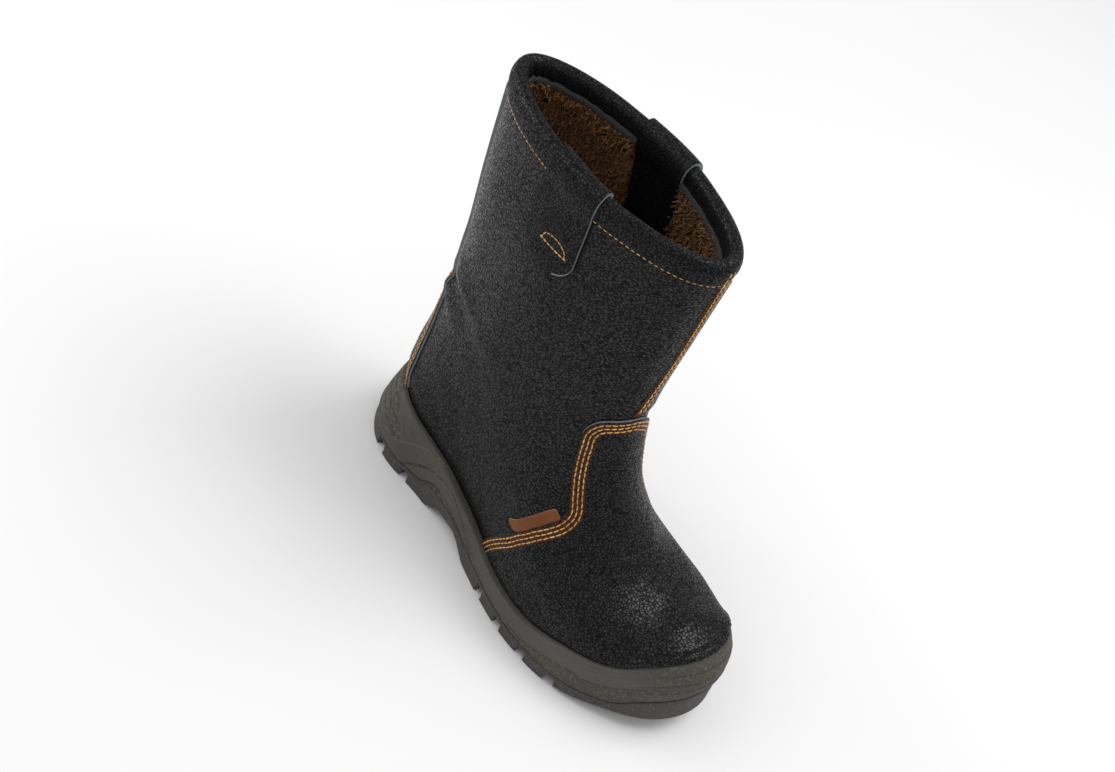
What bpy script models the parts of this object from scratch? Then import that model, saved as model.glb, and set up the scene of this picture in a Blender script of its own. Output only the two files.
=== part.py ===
"""Winter safety boot for the right foot: a pull-on boot on a cleated sole.

X runs forward to the toe, Y to the wearer's left and Z up.  Sizes are in millimetres
and become metres where the meshes are made.
"""

import bpy
import numpy as np

MM = 0.001

# Clear space between neighbours, and the thickness of each kind of sheet
GAP = 0.3
TRAY_GAP = 0.5
LEATHER = 2.4
OVERLAY = 1.6
TAB = 2.2
INSOLE = 4.0
INSOLE_BEVEL = 1.0

# Middle of the boot's outer box, in the table's own frame
BOX_MIDDLE = (-2.1, 2.4)

# The last: one row for each ring around the boot, from the edge tucked under the foot
# to the top of the collar.  A ring runs from the heel line (back) to the toe, instep and
# shin line (front).  Half widths are at heel, waist and ball, and the ring rounds off
# over the lengths of its tail and nose.
SECTION_COLUMNS = ("back_x", "back_z", "front_x", "front_z", "heel", "waist", "ball", "tail", "nose")
SECTIONS = {
    "tuck": (-129, 26, 138, 33, 34.0, 34.0, 49.5, 42, 98),
    "rim": (-131, 49, 139.5, 65, 37.0, 37.5, 52.5, 45, 70),
    "wall": (-134, 60, 135.5, 66.5, 37.5, 39.0, 53.5, 49, 70),
    "crown": (-135, 71, 127.5, 68, 37.0, 40.0, 52.5, 56, 69),
    "toe_top": (-135, 82, 116, 69, 37.0, 41.0, 51.0, 59, 84),
    "vamp": (-134, 97, 79, 79, 37.0, 42.0, 46.5, 62, 88),
    "instep": (-134, 116, 47, 103, 37.5, 43.0, 44.0, 66, 92),
    "break": (-135, 140, 28, 141, 39.0, 45.0, 45.0, 73, 95),
    "low": (-138, 172, 21, 175, 42.0, 47.5, 47.5, 85, 105),
    "mid": (-147, 224, 21, 231, 44.5, 49.5, 51.5, 106, 128),
    "collar": (-157, 289, 22, 297, 42.0, 46.0, 54.0, 130, 152),
}
RING = {name: number for number, name in enumerate(SECTIONS)}
HEEL_X, WAIST_X, BALL_X = -100, -34, 76
ROUNDNESS = 2.1

# Lines along the foot, as (x, height): the sole's rim, the bed inside its tray, the parting
# line between midsole and outsole, and (x, sideways) for the curve of the foot.
RIM_LINE = (
    (-155, 50), (-113, 48), (-72, 41.5), (-50, 38), (-31, 32.5), (-8, 27), (10, 23.5), (43, 23.8), (62, 27),
    (78, 33), (92, 37), (104, 40.5), (114, 46), (122, 54.5), (131, 61.5), (155, 70),
)
BED_LINE = ((-155, 27), (-113, 24), (-72, 22), (-31, 20), (10, 16), (62, 14), (108, 18), (155, 44))
PARTING_LINE = (
    (-155, 14), (-113, 11), (-72, 11.5), (-50, 18), (-31, 17), (-8, 12.5), (25, 10), (62, 9), (108, 12.5),
    (124, 16.5), (136, 27.5), (155, 37),
)
CENTRE_LINE = ((-140, -2), (-60, 1), (-20, -1.2), (15, -3), (40, -2), (70, 2.5), (145, 11))
RIM_BOW_ENDS = RING["instep"]
CENTRE_CURVE_SPAN = (RING["wall"], RING["low"])

# Sole: bottom line and lugs
ARCH = 10.0
ARCH_SPAN = (-58, -42, -28, -4)
TOE_SPRING = 17.0
TOE_SPRING_SPAN = (72, 175)
HEEL_BEVEL = 4.0
HEEL_BEVEL_SPAN = (-118, -146)
LUG_DEPTH = 5.0
NOTCH = 5.0
NOTCH_SLOPE = 1.2
NOTCH_INSET = 3.0
NOTCH_STATIONS = (-103, -79, 17, 40, 63, 86)
LUG_LENGTH = 15.0
LUG_GROOVE = 5.0
LUG_PROUD = 1.0
TOE_FLARE = 2.0
LUG_SHOULDER = 1.0
LUG_CHAMFER = 0.5
GROOVE_SLOPE = 1.0

# Side of the midsole, from its rim down: height between parting line and rim, and how far
# it stands out from the last at heel, side and toe
WALL_COLUMNS = ("height", "heel", "side", "toe")
MIDSOLE_WALL = {
    "lip_crest": (1.0, 2.2, 2.2, 2.2),
    "lip_edge": (0.96, 4.6, 4.2, 4.6),
    "lip_foot": (0.84, 5.6, 4.8, 8.0),
    "upper_groove": (0.8, 4.6, 4.9, 7.6),
    "upper_rib": (0.75, 6.4, 5.1, 10.2),
    "upper_rib_foot": (0.62, 7.2, 5.3, 11.8),
    "middle_groove": (0.58, 6.2, 4.6, 10.8),
    "middle_rib": (0.53, 7.9, 5.4, 12.4),
    "middle_rib_foot": (0.41, 8.8, 5.8, 13.2),
    "lower_groove": (0.37, 8.0, 6.0, 12.6),
    "lower_rib": (0.32, 9.4, 6.3, 13.8),
    "lower_rib_foot": (0.16, 9.8, 6.6, 13.8),
    "step": (0.11, 9.0, 6.5, 12.6),
    "parting": (0.0, 8.7, 6.4, 12.0),
}
HEEL_ZONE = (-98, -58)
TOE_ZONE = (112, 146)

# Collar: section of the padded roll, as (out from the shaft's outer face, up from its edge)
SHAFT_TOP = RING["collar"] - 0.24
COLLAR_SECTION = (
    (0.5, 0.3), (1.5, 5.0), (1.2, 11.0), (-1.2, 15.0), (-4.2, 16.0), (-7.2, 14.0), (-8.6, 9.0),
    (-8.0, 2.0), (-6.0, -4.0), (-5.0, -12.0), (-2.7, -12.0), (-2.7, -5.0), (-2.7, 0.3),
)
FACING_FOOT = 9

# Pieces sewn on the upper, by turn in degrees from the toe (minus on the outer side) and ring
SEWN_FROM = RING["rim"] + 0.14
SEWN_TO = SHAFT_TOP - 0.03
VAMP_EDGE = (
    (-94, 1.0), (-92.3, 1.65), (-86.1, 3.03), (-77.3, 4.2), (-67.2, 4.75), (-56.6, 5.19), (-48.5, 5.48),
    (-43.7, 5.69), (-41.9, 5.97), (-40.9, 6.41), (-39.5, 6.9), (-37, 7.34), (-31, 7.58), (-18, 7.7), (0, 7.72),
    (13, 7.55), (22, 7.3), (28, 7.0), (33, 6.6), (37, 6.2), (44, 5.68), (53, 5.15), (62.5, 4.72), (73, 4.1),
    (81, 3.1), (87.5, 1.77), (89.5, 1.0),
)
BACK_STRIP_EDGE = ((1.0, 30), (3.0, 29.5), (5.7, 27), (8.4, 18), (10.0, 18))
FRONT_STRIP_EDGE = ((7.78, -13, 12), (8.3, -7, 14), (9.73, -6, 14))
# Lower and upper edge of the tag, each as turn and ring, from back to front
LABEL_EDGE = (
    (-79.4, 4.12, -82.6, 4.15), (-70.3, 4.65, -73.0, 4.71), (-62.0, 5.01, -64.7, 5.07),
    (-54.6, 5.31, -57.2, 5.38), (-47.5, 5.56, -50.1, 5.64),
)
TAB_TURN = 88.5
TAB_LEAN = 3
TAB_HALF_WIDTH = 20.0
TAB_OUTER_LEG = 45.0
TAB_INNER_LEG = 55.0
TAB_ROUND = 15.0
TAB_CORNER = 0.98

# Shaft between its last two rings: height, and turning radius of its sides
RING_HEIGHT = 65.0
SHAFT_RADIUS = 89.0

# Numbers of mesh columns around the boot, rows up the upper, and (rows, columns) of the sheets
AROUND = 48
BACK_STRIP_GRID = (18, 9)
FRONT_STRIP_GRID = (10, 7)
LABEL_GRID = (3, 7)
TAB_COLUMNS = 7
TAB_OUTER_ROWS = (1.0, 0.85, 0.7, 0.5, 0.3, 0.06)
TAB_INNER_ROWS = (0.5, 0.75, 1.0)
UPPER_ROWS = (0, 0.5, 1, SEWN_FROM, 1.6, 2, 2.5, 3, 3.5, 4, 4.4, 4.8, 5.2, 5.6, 6, 6.3, 6.6, 6.9, 7.2, 7.6,
              8, 8.5, 9, 9.4, SHAFT_TOP)
COLUMN_CLEARANCE = 0.03
CUT_HALVINGS = 12
SLOPE_STEP = 0.002
SHARP_ANGLE = 35

# Colour and roughness of each finish
FINISHES = {
    "black_leather": ((0.018, 0.018, 0.020), 0.55),
    "olive_sole": ((0.055, 0.050, 0.040), 0.75),
    "dark_sole": ((0.030, 0.028, 0.027), 0.80),
    "felt": ((0.060, 0.035, 0.022), 0.95),
    "tan_label": ((0.28, 0.085, 0.020), 0.60),
}


def ease(start, end, value):
    """Smooth step from 0 at start to 1 at end."""
    part = np.clip((value - start) / (end - start), 0, 1)
    return part * part * (3 - 2 * part)


def curve(stations, heights, at):
    """Smooth curve through a few stations, read at other places and level beyond its ends."""
    stations = np.asarray(stations, float)
    heights = np.asarray(heights, float)
    slopes = np.gradient(heights, stations)
    at = np.clip(np.asarray(at, float), stations[0], stations[-1])
    left = np.clip(np.searchsorted(stations, at) - 1, 0, len(stations) - 2)
    length = stations[left + 1] - stations[left]
    part = (at - stations[left]) / length
    rest = 1 - part
    return (
        heights[left] * (1 + 2 * part) * rest ** 2
        + slopes[left] * length * part * rest ** 2
        + heights[left + 1] * part ** 2 * (3 - 2 * part)
        - slopes[left + 1] * length * part ** 2 * rest
    )


def line(points, at):
    """Height of one of the lines along the foot."""
    stations, heights = zip(*points)
    return curve(stations, heights, at)


def round_end(distance, length):
    """Share of the full width at a distance from a rounded end."""
    return np.sqrt(np.clip(1 - np.clip(1 - distance / length, 0, 1) ** ROUNDNESS, 0, 1))


def last_surface(ring, turn):
    """Outer face of the upper at ring numbers and turns (0 at the toe, pi at the heel)."""
    ring, turn = np.broadcast_arrays(np.clip(ring, 0, RING["collar"]), np.asarray(turn, float))
    table = np.array(list(SECTIONS.values()), float)
    size = {name: curve(range(len(table)), table[:, k], ring) for k, name in enumerate(SECTION_COLUMNS)}
    chord = size["front_x"] - size["back_x"]
    forward = (1 + np.cos(turn)) / 2
    x = size["back_x"] + chord * forward
    straight = size["back_z"] + (size["front_z"] - size["back_z"]) * forward
    rim = dict(zip(SECTION_COLUMNS, SECTIONS["rim"]))
    rim_slope = (rim["front_z"] - rim["back_z"]) / (rim["front_x"] - rim["back_x"])
    bow = line(RIM_LINE, x) - rim["back_z"] - rim_slope * (x - rim["back_x"])
    above = straight + bow * (1 - ease(RING["rim"], RIM_BOW_ENDS, ring))
    inside_tray = line(BED_LINE, x) * (1 - ring) + line(RIM_LINE, x) * ring
    z = np.where(ring < RING["rim"], inside_tray, above)
    half = size["heel"] + (size["waist"] - size["heel"]) * ease(HEEL_X, WAIST_X, x)
    half = half + (size["ball"] - size["waist"]) * ease(WAIST_X, BALL_X, x)
    half = half * round_end(forward * chord, size["tail"]) * round_end((1 - forward) * chord, size["nose"])
    middle = line(CENTRE_LINE, x) * (1 - ease(*CENTRE_CURVE_SPAN, ring))
    return np.stack([x, middle + half * np.sign(np.sin(turn)), z], axis=-1)


def upper_point(ring, turn, out=0.0):
    """Point at a distance out from the upper's outer face, along its normal."""
    ring, turn = np.broadcast_arrays(np.asarray(ring, float), np.asarray(turn, float))
    around = last_surface(ring, turn + SLOPE_STEP) - last_surface(ring, turn - SLOPE_STEP)
    upward = last_surface(ring + SLOPE_STEP, turn) - last_surface(ring - SLOPE_STEP, turn)
    normal = np.cross(around, upward)
    normal /= np.linalg.norm(normal, axis=-1, keepdims=True)
    return last_surface(ring, turn) + normal * np.asarray(out, float)[..., None]


def sole_outline(turn, out):
    """Outline of the sole: the rim of the last moved out sideways, with the rim's heights."""
    rim = last_surface(RING["rim"], turn)
    along = last_surface(RING["rim"], turn + SLOPE_STEP) - last_surface(RING["rim"], turn - SLOPE_STEP)
    normal = np.stack([along[:, 1], -along[:, 0]], axis=-1)
    normal /= np.linalg.norm(normal, axis=-1, keepdims=True)
    rim[:, :2] += normal * np.asarray(out, float).reshape(-1, 1)
    return rim


def bottom_height(x):
    """Underside of the sole: flat heel and forefoot, arch, toe spring and heel bevel."""
    back, high_back, high_front, front = ARCH_SPAN
    arch = ARCH * ease(back, high_back, x) * (1 - ease(high_front, front, x))
    return arch + TOE_SPRING * ease(*TOE_SPRING_SPAN, x) + HEEL_BEVEL * ease(*HEEL_BEVEL_SPAN, x)


def make_finish(name):
    """Material of one finish, shared by the pieces that have it."""
    if name in bpy.data.materials:
        return bpy.data.materials[name]
    colour, roughness = FINISHES[name]
    material = bpy.data.materials.new(name)
    material.use_nodes = True
    shader = material.node_tree.nodes["Principled BSDF"]
    shader.inputs["Base Color"].default_value = (*colour, 1)
    shader.inputs["Roughness"].default_value = roughness
    shader.inputs["Metallic"].default_value = 0
    return material


def signed_volume(points, faces):
    """Volume of a closed mesh of triangles, negative where its faces point in."""
    first, second, third = (points[[face[k] for face in faces]] for k in range(3))
    return np.sum(first * np.cross(second, third)) / 6


def add_solid(name, points, faces, finish):
    """Mesh object from points in millimetres, with its faces turned outwards."""
    points = np.asarray(points, float)
    points = (points - np.array([*BOX_MIDDLE, 0])) * MM
    faces = [(face[0], *pair) for face in faces for pair in zip(face[1:], face[2:])]
    if signed_volume(points, faces) < 0:
        faces = [face[::-1] for face in faces]
    mesh = bpy.data.meshes.new(name)
    mesh.from_pydata(points.tolist(), [], faces)
    mesh.materials.append(make_finish(finish))
    mesh.shade_smooth()
    mesh.set_sharp_from_angle(angle=np.radians(SHARP_ANGLE))
    piece = bpy.data.objects.new(name, mesh)
    bpy.context.collection.objects.link(piece)
    return piece


def strip_faces(rows, columns, around):
    """Quads between neighbouring rows of a grid, closed around its columns or left open."""
    last = columns if around else columns - 1
    return [
        (row * columns + k, row * columns + (k + 1) % columns,
         (row + 1) * columns + (k + 1) % columns, (row + 1) * columns + k)
        for row in range(rows - 1) for k in range(last)
    ]


def add_tube(name, loops, finish):
    """Solid between closed loops whose last loop meets the first: a ring with an open middle."""
    loops = [*loops, loops[0]]
    rows, columns = len(loops), len(loops[0])
    faces = strip_faces(rows, columns, True)
    last_row = (rows - 1) * columns
    faces = [tuple(k - last_row if k >= last_row else k for k in face) for face in faces]
    return add_solid(name, np.concatenate(loops[:-1]), faces, finish)


def cap_faces(first, columns):
    """Faces that close a loop by joining each column to the one across from it."""
    half = columns // 2
    faces = [(first, first + 1, first + columns - 1), (first + half - 1, first + half, first + half + 1)]
    for k in range(1, half - 1):
        faces.append((first + k, first + k + 1, first + columns - k - 1, first + columns - k))
    return faces


def add_block(name, loops, finish):
    """Solid between closed loops, closed over its first and its last loop."""
    rows, columns = len(loops), len(loops[0])
    faces = strip_faces(rows, columns, True)
    faces += [face[::-1] for face in cap_faces(0, columns)]
    faces += cap_faces((rows - 1) * columns, columns)
    return add_solid(name, np.concatenate(loops), faces, finish)


def close_sheet(faces, count):
    """Faces of a sheet with a copy of its points on either side, closed along its edges."""
    steps = {pair for face in faces for pair in zip(face, face[1:] + face[:1])}
    edges = [(here, after) for here, after in sorted(steps) if (after, here) not in steps]
    below = [face[::-1] for face in faces]
    above = [tuple(k + count for k in face) for face in faces]
    return below + above + [(here, after, after + count, here + count) for here, after in edges]


def add_sheet(name, inner, outer, finish):
    """Solid between two open grids of the same size, closed along their edges."""
    rows, columns = inner.shape[:2]
    faces = close_sheet(strip_faces(rows, columns, False), rows * columns)
    points = np.concatenate([inner.reshape(-1, 3), outer.reshape(-1, 3)])
    return add_solid(name, points, faces, finish)


def columns_around(count):
    """Turns of the mesh columns around the boot."""
    return np.arange(count) * 2 * np.pi / count


def make_upper():
    """Leather shell: outer rows from the tucked edge to the shaft's top, then the inner rows back."""
    turn = columns_around(AROUND)
    outer = [upper_point(ring, turn) for ring in UPPER_ROWS]
    inner = [upper_point(ring, turn, -LEATHER) for ring in UPPER_ROWS[::2]]
    return add_tube("upper", outer + inner[::-1], "black_leather")


def make_insole():
    """Bed inside the foot, inside the tucked edge of the upper."""
    turn = columns_around(AROUND)
    loops = []
    for up, inward in ((GAP, 0), (INSOLE - INSOLE_BEVEL, 0), (INSOLE, INSOLE_BEVEL)):
        edge = upper_point(RING["tuck"], turn, -LEATHER - 2 * GAP - inward)
        edge[:, 2] = line(BED_LINE, edge[:, 0]) + up
        loops.append(edge)
    return add_block("insole", loops, "felt")


def midsole_out(row, x):
    """How far a row of the midsole's side stands out from the last."""
    size = dict(zip(WALL_COLUMNS, MIDSOLE_WALL[row]))
    heel = 1 - ease(*HEEL_ZONE, x)
    toe = ease(*TOE_ZONE, x)
    return size["side"] + (size["heel"] - size["side"]) * heel + (size["toe"] - size["side"]) * toe


def make_midsole():
    """Moulded tray: floor, inner wall against the upper, ribbed side and underside."""
    turn = columns_around(AROUND)
    floor = upper_point(0, turn, GAP)
    floor[:, 2] = line(BED_LINE, floor[:, 0]) - GAP
    loops = [floor, upper_point(0.5, turn, TRAY_GAP), upper_point(RING["rim"], turn, TRAY_GAP)]
    rim = last_surface(RING["rim"], turn)
    for row in MIDSOLE_WALL:
        side = sole_outline(turn, midsole_out(row, rim[:, 0]))
        low = line(PARTING_LINE, side[:, 0]) + GAP
        side[:, 2] = low + (rim[:, 2] - low) * MIDSOLE_WALL[row][0]
        loops.append(side)
    return add_block("midsole", loops, "olive_sole")


def outsole_columns():
    """Turns of the outsole's columns, with four at each notch, the same on both sides."""
    rim = dict(zip(SECTION_COLUMNS, SECTIONS["rim"]))
    stations = []
    for x in NOTCH_STATIONS:
        for edge in (-1, 1):
            stations += [x + edge * NOTCH / 2, x + edge * (NOTCH / 2 + NOTCH_SLOPE)]
    notches = np.arccos(2 * (np.array(stations) - rim["back_x"]) / (rim["front_x"] - rim["back_x"]) - 1)
    even = np.linspace(0, np.pi, AROUND // 2 + 1)
    clear = [turn for turn in even if np.min(np.abs(notches - turn)) > COLUMN_CLEARANCE]
    half = np.array(sorted([*clear, *notches]))
    return np.concatenate([half, 2 * np.pi - half[-2:0:-1]])


def in_notch(x):
    """1 at the columns inside a notch between lugs, else 0."""
    return np.min(np.abs(np.asarray(NOTCH_STATIONS)[:, None] - x), axis=0) < NOTCH / 2 + NOTCH_SLOPE / 2


def make_outsole():
    """Cleated sheet: notched lugs around the edge, a groove inside them, and blocks in the middle."""
    turn = outsole_columns()
    rim = last_surface(RING["rim"], turn)
    notch = in_notch(rim[:, 0]) * 1.0
    edge_out = midsole_out("parting", rim[:, 0])
    flare = TOE_FLARE * ease(*TOE_ZONE, rim[:, 0])
    top = sole_outline(turn, edge_out)
    top[:, 2] = line(PARTING_LINE, top[:, 0])
    shoulder = sole_outline(turn, edge_out + LUG_PROUD)
    shoulder[:, 2] = line(PARTING_LINE, shoulder[:, 0]) - LUG_SHOULDER
    loops = [top, shoulder]
    groove_end = -LUG_LENGTH - LUG_GROOVE
    for out, lift in (
        (LUG_PROUD - LUG_CHAMFER + flare - notch * NOTCH_INSET, 0), (-LUG_LENGTH, 0),
        (-LUG_LENGTH - GROOVE_SLOPE, LUG_DEPTH), (groove_end, LUG_DEPTH), (groove_end - GROOVE_SLOPE, 0),
    ):
        row = sole_outline(turn, edge_out + out)
        row[:, 2] = bottom_height(row[:, 0]) + np.maximum(lift, notch * LUG_DEPTH)
        loops.append(row)
    return add_block("outsole", loops, "dark_sole")


def collar_point(turn, out, up):
    """Point near the shaft's edge: along the wall below it, straight on above it."""
    turn, out, up = np.broadcast_arrays(turn, np.asarray(out, float), np.asarray(up, float))
    on_wall = upper_point(SHAFT_TOP + np.minimum(up, 0) / RING_HEIGHT, turn, out)
    rise = last_surface(SHAFT_TOP, turn) - last_surface(SHAFT_TOP - 0.05, turn)
    rise /= np.linalg.norm(rise, axis=-1, keepdims=True)
    return on_wall + rise * np.maximum(up, 0)[..., None]


def make_collar():
    """Padded roll on the shaft's edge, with its facing down the inside."""
    turn = columns_around(AROUND)
    loops = [collar_point(turn, out, up) for out, up in COLLAR_SECTION]
    return add_tube("collar", loops, "black_leather")


def add_sewn(name, ring, turn, finish="black_leather"):
    """Thin sheet on the upper's outer face, from grids of rings and turns."""
    return add_sheet(name, upper_point(ring, turn, GAP), upper_point(ring, turn, GAP + OVERLAY), finish)


def on_vamp(turn, ring):
    """True below the vamp's sewn edge."""
    turns, rings = zip(*VAMP_EDGE)
    return ring <= np.interp(turn, turns, rings)


def cut_place(inside, outside):
    """Share of the way from a place on the vamp to one beyond it at which the edge lies."""
    near, far = 0.0, 1.0
    for _ in range(CUT_HALVINGS):
        middle = (near + far) / 2
        if on_vamp(*(inside + (outside - inside) * middle)):
            near = middle
        else:
            far = middle
    return near


def make_vamp():
    """Toe and instep leather: the upper's own facets over the foot, cut along the sewn edge."""
    columns = np.arange(-AROUND // 2, AROUND // 2 + 1) * 360 / AROUND
    rows = [ring for ring in UPPER_ROWS if ring >= SEWN_FROM]
    ring, turn = np.meshgrid(rows, columns, indexing="ij")
    place = np.stack([turn, ring], axis=-1)
    inner = upper_point(ring, np.radians(turn), GAP)
    outer = upper_point(ring, np.radians(turn), GAP + OVERLAY)
    numbers, below, above, faces = {}, [], [], []

    def corner(key, point_below, point_above):
        if key not in numbers:
            numbers[key] = len(below)
            below.append(point_below)
            above.append(point_above)
        return numbers[key]

    def clip(triangle):
        face = []
        for here, after in zip(triangle, triangle[1:] + triangle[:1]):
            stays, goes_on = on_vamp(*place[here]), on_vamp(*place[after])
            if stays:
                face.append(corner(here, inner[here], outer[here]))
            if stays != goes_on:
                start, end = (here, after) if stays else (after, here)
                share = cut_place(place[start], place[end])
                cut = [grid[start] + (grid[end] - grid[start]) * share for grid in (inner, outer)]
                face.append(corner((start, end), *cut))
        return face

    for row in range(len(rows) - 1):
        for k in range(len(columns) - 1):
            here, beside = (row, k), (row, k + 1)
            across, over = (row + 1, k + 1), (row + 1, k)
            for triangle in ((here, beside, across), (here, across, over)):
                face = clip(triangle)
                if len(face) > 2:
                    faces.append(tuple(face))
    return add_solid("vamp", below + above, close_sheet(faces, len(below)), "black_leather")


def make_back_strip():
    """Strip over the heel seam, wide above the sole and narrow at the collar."""
    rings, halves = zip(*BACK_STRIP_EDGE)
    rows, columns = BACK_STRIP_GRID
    ring = np.linspace(SEWN_FROM, SEWN_TO, rows)[:, None]
    across = np.linspace(-1, 1, columns)
    turn = 180 + curve(rings, halves, ring) * across
    return add_sewn("back_strip", ring + 0 * turn, np.radians(turn))


def make_front_strip():
    """Overlapped seam down the shin, from the collar to the vamp."""
    rings, outer_turns, inner_turns = zip(*FRONT_STRIP_EDGE)
    rows, columns = FRONT_STRIP_GRID
    ring = np.linspace(rings[0], SEWN_TO, rows)[:, None]
    across = np.linspace(0, 1, columns)
    turn = curve(rings, outer_turns, ring) * (1 - across) + curve(rings, inner_turns, ring) * across
    return add_sewn("front_strip", ring + 0 * turn, np.radians(turn))


def make_side_label():
    """Bare tag in the vamp seam on the outer side."""
    rows, columns = LABEL_GRID
    stations = range(len(LABEL_EDGE))
    along = np.linspace(0, stations[-1], columns)
    low_turn, low_ring, high_turn, high_ring = (curve(stations, edge, along) for edge in zip(*LABEL_EDGE))
    up = np.linspace(0, 1, rows)[:, None]
    ring = low_ring * (1 - up) + high_ring * up
    turn = low_turn * (1 - up) + high_turn * up
    return add_sewn("side_label", ring, np.radians(turn), "tan_label")


def offset_path(path, distance):
    """Path moved sideways, to the right of its direction."""
    path = np.asarray(path, float)
    steps = np.diff(path, axis=0)
    steps /= np.linalg.norm(steps, axis=1, keepdims=True)
    normals = np.stack([steps[:, 1], -steps[:, 0]], axis=1)
    corners = np.concatenate([normals[:1], normals[:-1] + normals[1:], normals[-1:]])
    corners /= np.maximum(np.linalg.norm(corners, axis=1, keepdims=True), 1e-6)
    stretch = np.concatenate([[1], np.sqrt(2 / (1 + np.sum(normals[:-1] * normals[1:], axis=1))), [1]])
    return path + corners * (stretch * distance)[:, None]


def tab_face(side, distance):
    """One face of a pull tab: up the shaft, over the collar and down inside."""
    leg = [(0, -TAB_OUTER_LEG * part) for part in TAB_OUTER_ROWS]
    facing_out, _ = COLLAR_SECTION[FACING_FOOT]
    inside = [(facing_out, -TAB_INNER_LEG * part) for part in TAB_INNER_ROWS]
    path = offset_path([*leg, *COLLAR_SECTION[:FACING_FOOT + 1], *inside], distance)
    across = np.linspace(-1, 1, TAB_COLUMNS)
    rounding = TAB_ROUND * (1 - np.sqrt(1 - (across * TAB_CORNER) ** 2)) / TAB_OUTER_LEG
    out, up = path[:, 0, None], path[:, 1, None] + 0 * across
    on_leg = np.arange(len(path))[:, None] < len(leg)
    up = np.where(on_leg, up * (1 - rounding), up)
    lean = np.radians(TAB_LEAN) * np.clip(-up / TAB_OUTER_LEG, 0, 1)
    turn = np.radians(TAB_TURN) - lean + across * TAB_HALF_WIDTH / SHAFT_RADIUS
    return collar_point(side * turn, out + 0 * across, up)


def make_pull_tab_outer():
    """Strap folded over the collar on the outer side."""
    return add_sheet("pull_tab_outer", tab_face(-1, GAP), tab_face(-1, GAP + TAB), "black_leather")


def make_pull_tab_inner():
    """Strap folded over the collar on the inner side."""
    return add_sheet("pull_tab_inner", tab_face(1, GAP), tab_face(1, GAP + TAB), "black_leather")


PIECES = (
    make_outsole, make_midsole, make_insole, make_upper, make_collar, make_vamp, make_back_strip,
    make_front_strip, make_side_label, make_pull_tab_outer, make_pull_tab_inner,
)


def main():
    """Clear the scene and make every piece of the boot."""
    for old in list(bpy.data.objects):
        bpy.data.objects.remove(old, do_unlink=True)
    for make_piece in PIECES:
        make_piece()


main()
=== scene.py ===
"""Looks of the winter safety boot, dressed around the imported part.

X runs forward to the toe, Y to the wearer's left and Z up.  Sizes are in millimetres
and become metres where the meshes are made.
"""

import bpy
import numpy as np
from mathutils import Matrix, Vector


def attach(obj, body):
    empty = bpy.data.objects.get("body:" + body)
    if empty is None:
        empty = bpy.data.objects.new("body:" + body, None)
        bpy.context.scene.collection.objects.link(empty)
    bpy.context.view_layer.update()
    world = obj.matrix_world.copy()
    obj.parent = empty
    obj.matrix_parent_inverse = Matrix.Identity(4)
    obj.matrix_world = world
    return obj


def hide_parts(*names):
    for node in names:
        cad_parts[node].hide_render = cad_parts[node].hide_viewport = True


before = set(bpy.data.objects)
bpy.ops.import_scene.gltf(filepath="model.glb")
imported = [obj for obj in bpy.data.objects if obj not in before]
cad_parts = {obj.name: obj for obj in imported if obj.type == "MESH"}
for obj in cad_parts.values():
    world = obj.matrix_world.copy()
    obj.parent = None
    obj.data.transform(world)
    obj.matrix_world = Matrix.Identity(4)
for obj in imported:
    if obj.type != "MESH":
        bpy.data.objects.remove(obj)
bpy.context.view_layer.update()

MM = 0.001

# Clear space between neighbours, and the thickness of each kind of sheet
GAP = 0.3
TRAY_GAP = 0.5
LEATHER = 2.4
OVERLAY = 1.6
TAB = 2.2
INSOLE = 4.0
INSOLE_BEVEL = 1.0

# Middle of the boot's outer box, in the table's own frame
BOX_MIDDLE = (-2.1, 2.4)

# The last: one row for each ring around the boot, as in the part
SECTION_COLUMNS = ("back_x", "back_z", "front_x", "front_z", "heel", "waist", "ball", "tail", "nose")
SECTIONS = {
    "tuck": (-129, 26, 138, 33, 34.0, 34.0, 49.5, 42, 98),
    "rim": (-131, 49, 139.5, 65, 37.0, 37.5, 52.5, 45, 70),
    "wall": (-134, 60, 135.5, 66.5, 37.5, 39.0, 53.5, 49, 70),
    "crown": (-135, 71, 127.5, 68, 37.0, 40.0, 52.5, 56, 69),
    "toe_top": (-135, 82, 116, 69, 37.0, 41.0, 51.0, 59, 84),
    "vamp": (-134, 97, 79, 79, 37.0, 42.0, 46.5, 62, 88),
    "instep": (-134, 116, 47, 103, 37.5, 43.0, 44.0, 66, 92),
    "break": (-135, 140, 28, 141, 39.0, 45.0, 45.0, 73, 95),
    "low": (-138, 172, 21, 175, 42.0, 47.5, 47.5, 85, 105),
    "mid": (-147, 224, 21, 231, 44.5, 49.5, 51.5, 106, 128),
    "collar": (-157, 289, 22, 297, 42.0, 46.0, 54.0, 130, 152),
}
RING = {name: number for number, name in enumerate(SECTIONS)}
HEEL_X, WAIST_X, BALL_X = -100, -34, 76
ROUNDNESS = 2.1

# Lines along the foot, as (x, height), and (x, sideways) for the curve of the foot
RIM_LINE = (
    (-155, 50), (-113, 48), (-72, 41.5), (-50, 38), (-31, 32.5), (-8, 27), (10, 23.5), (43, 23.8), (62, 27),
    (78, 33), (92, 37), (104, 40.5), (114, 46), (122, 54.5), (131, 61.5), (155, 70),
)
BED_LINE = ((-155, 27), (-113, 24), (-72, 22), (-31, 20), (10, 16), (62, 14), (108, 18), (155, 44))
PARTING_LINE = (
    (-155, 14), (-113, 11), (-72, 11.5), (-50, 18), (-31, 17), (-8, 12.5), (25, 10), (62, 9), (108, 12.5),
    (124, 16.5), (136, 27.5), (155, 37),
)
CENTRE_LINE = ((-140, -2), (-60, 1), (-20, -1.2), (15, -3), (40, -2), (70, 2.5), (145, 11))
RIM_BOW_ENDS = RING["instep"]
CENTRE_CURVE_SPAN = (RING["wall"], RING["low"])

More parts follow.
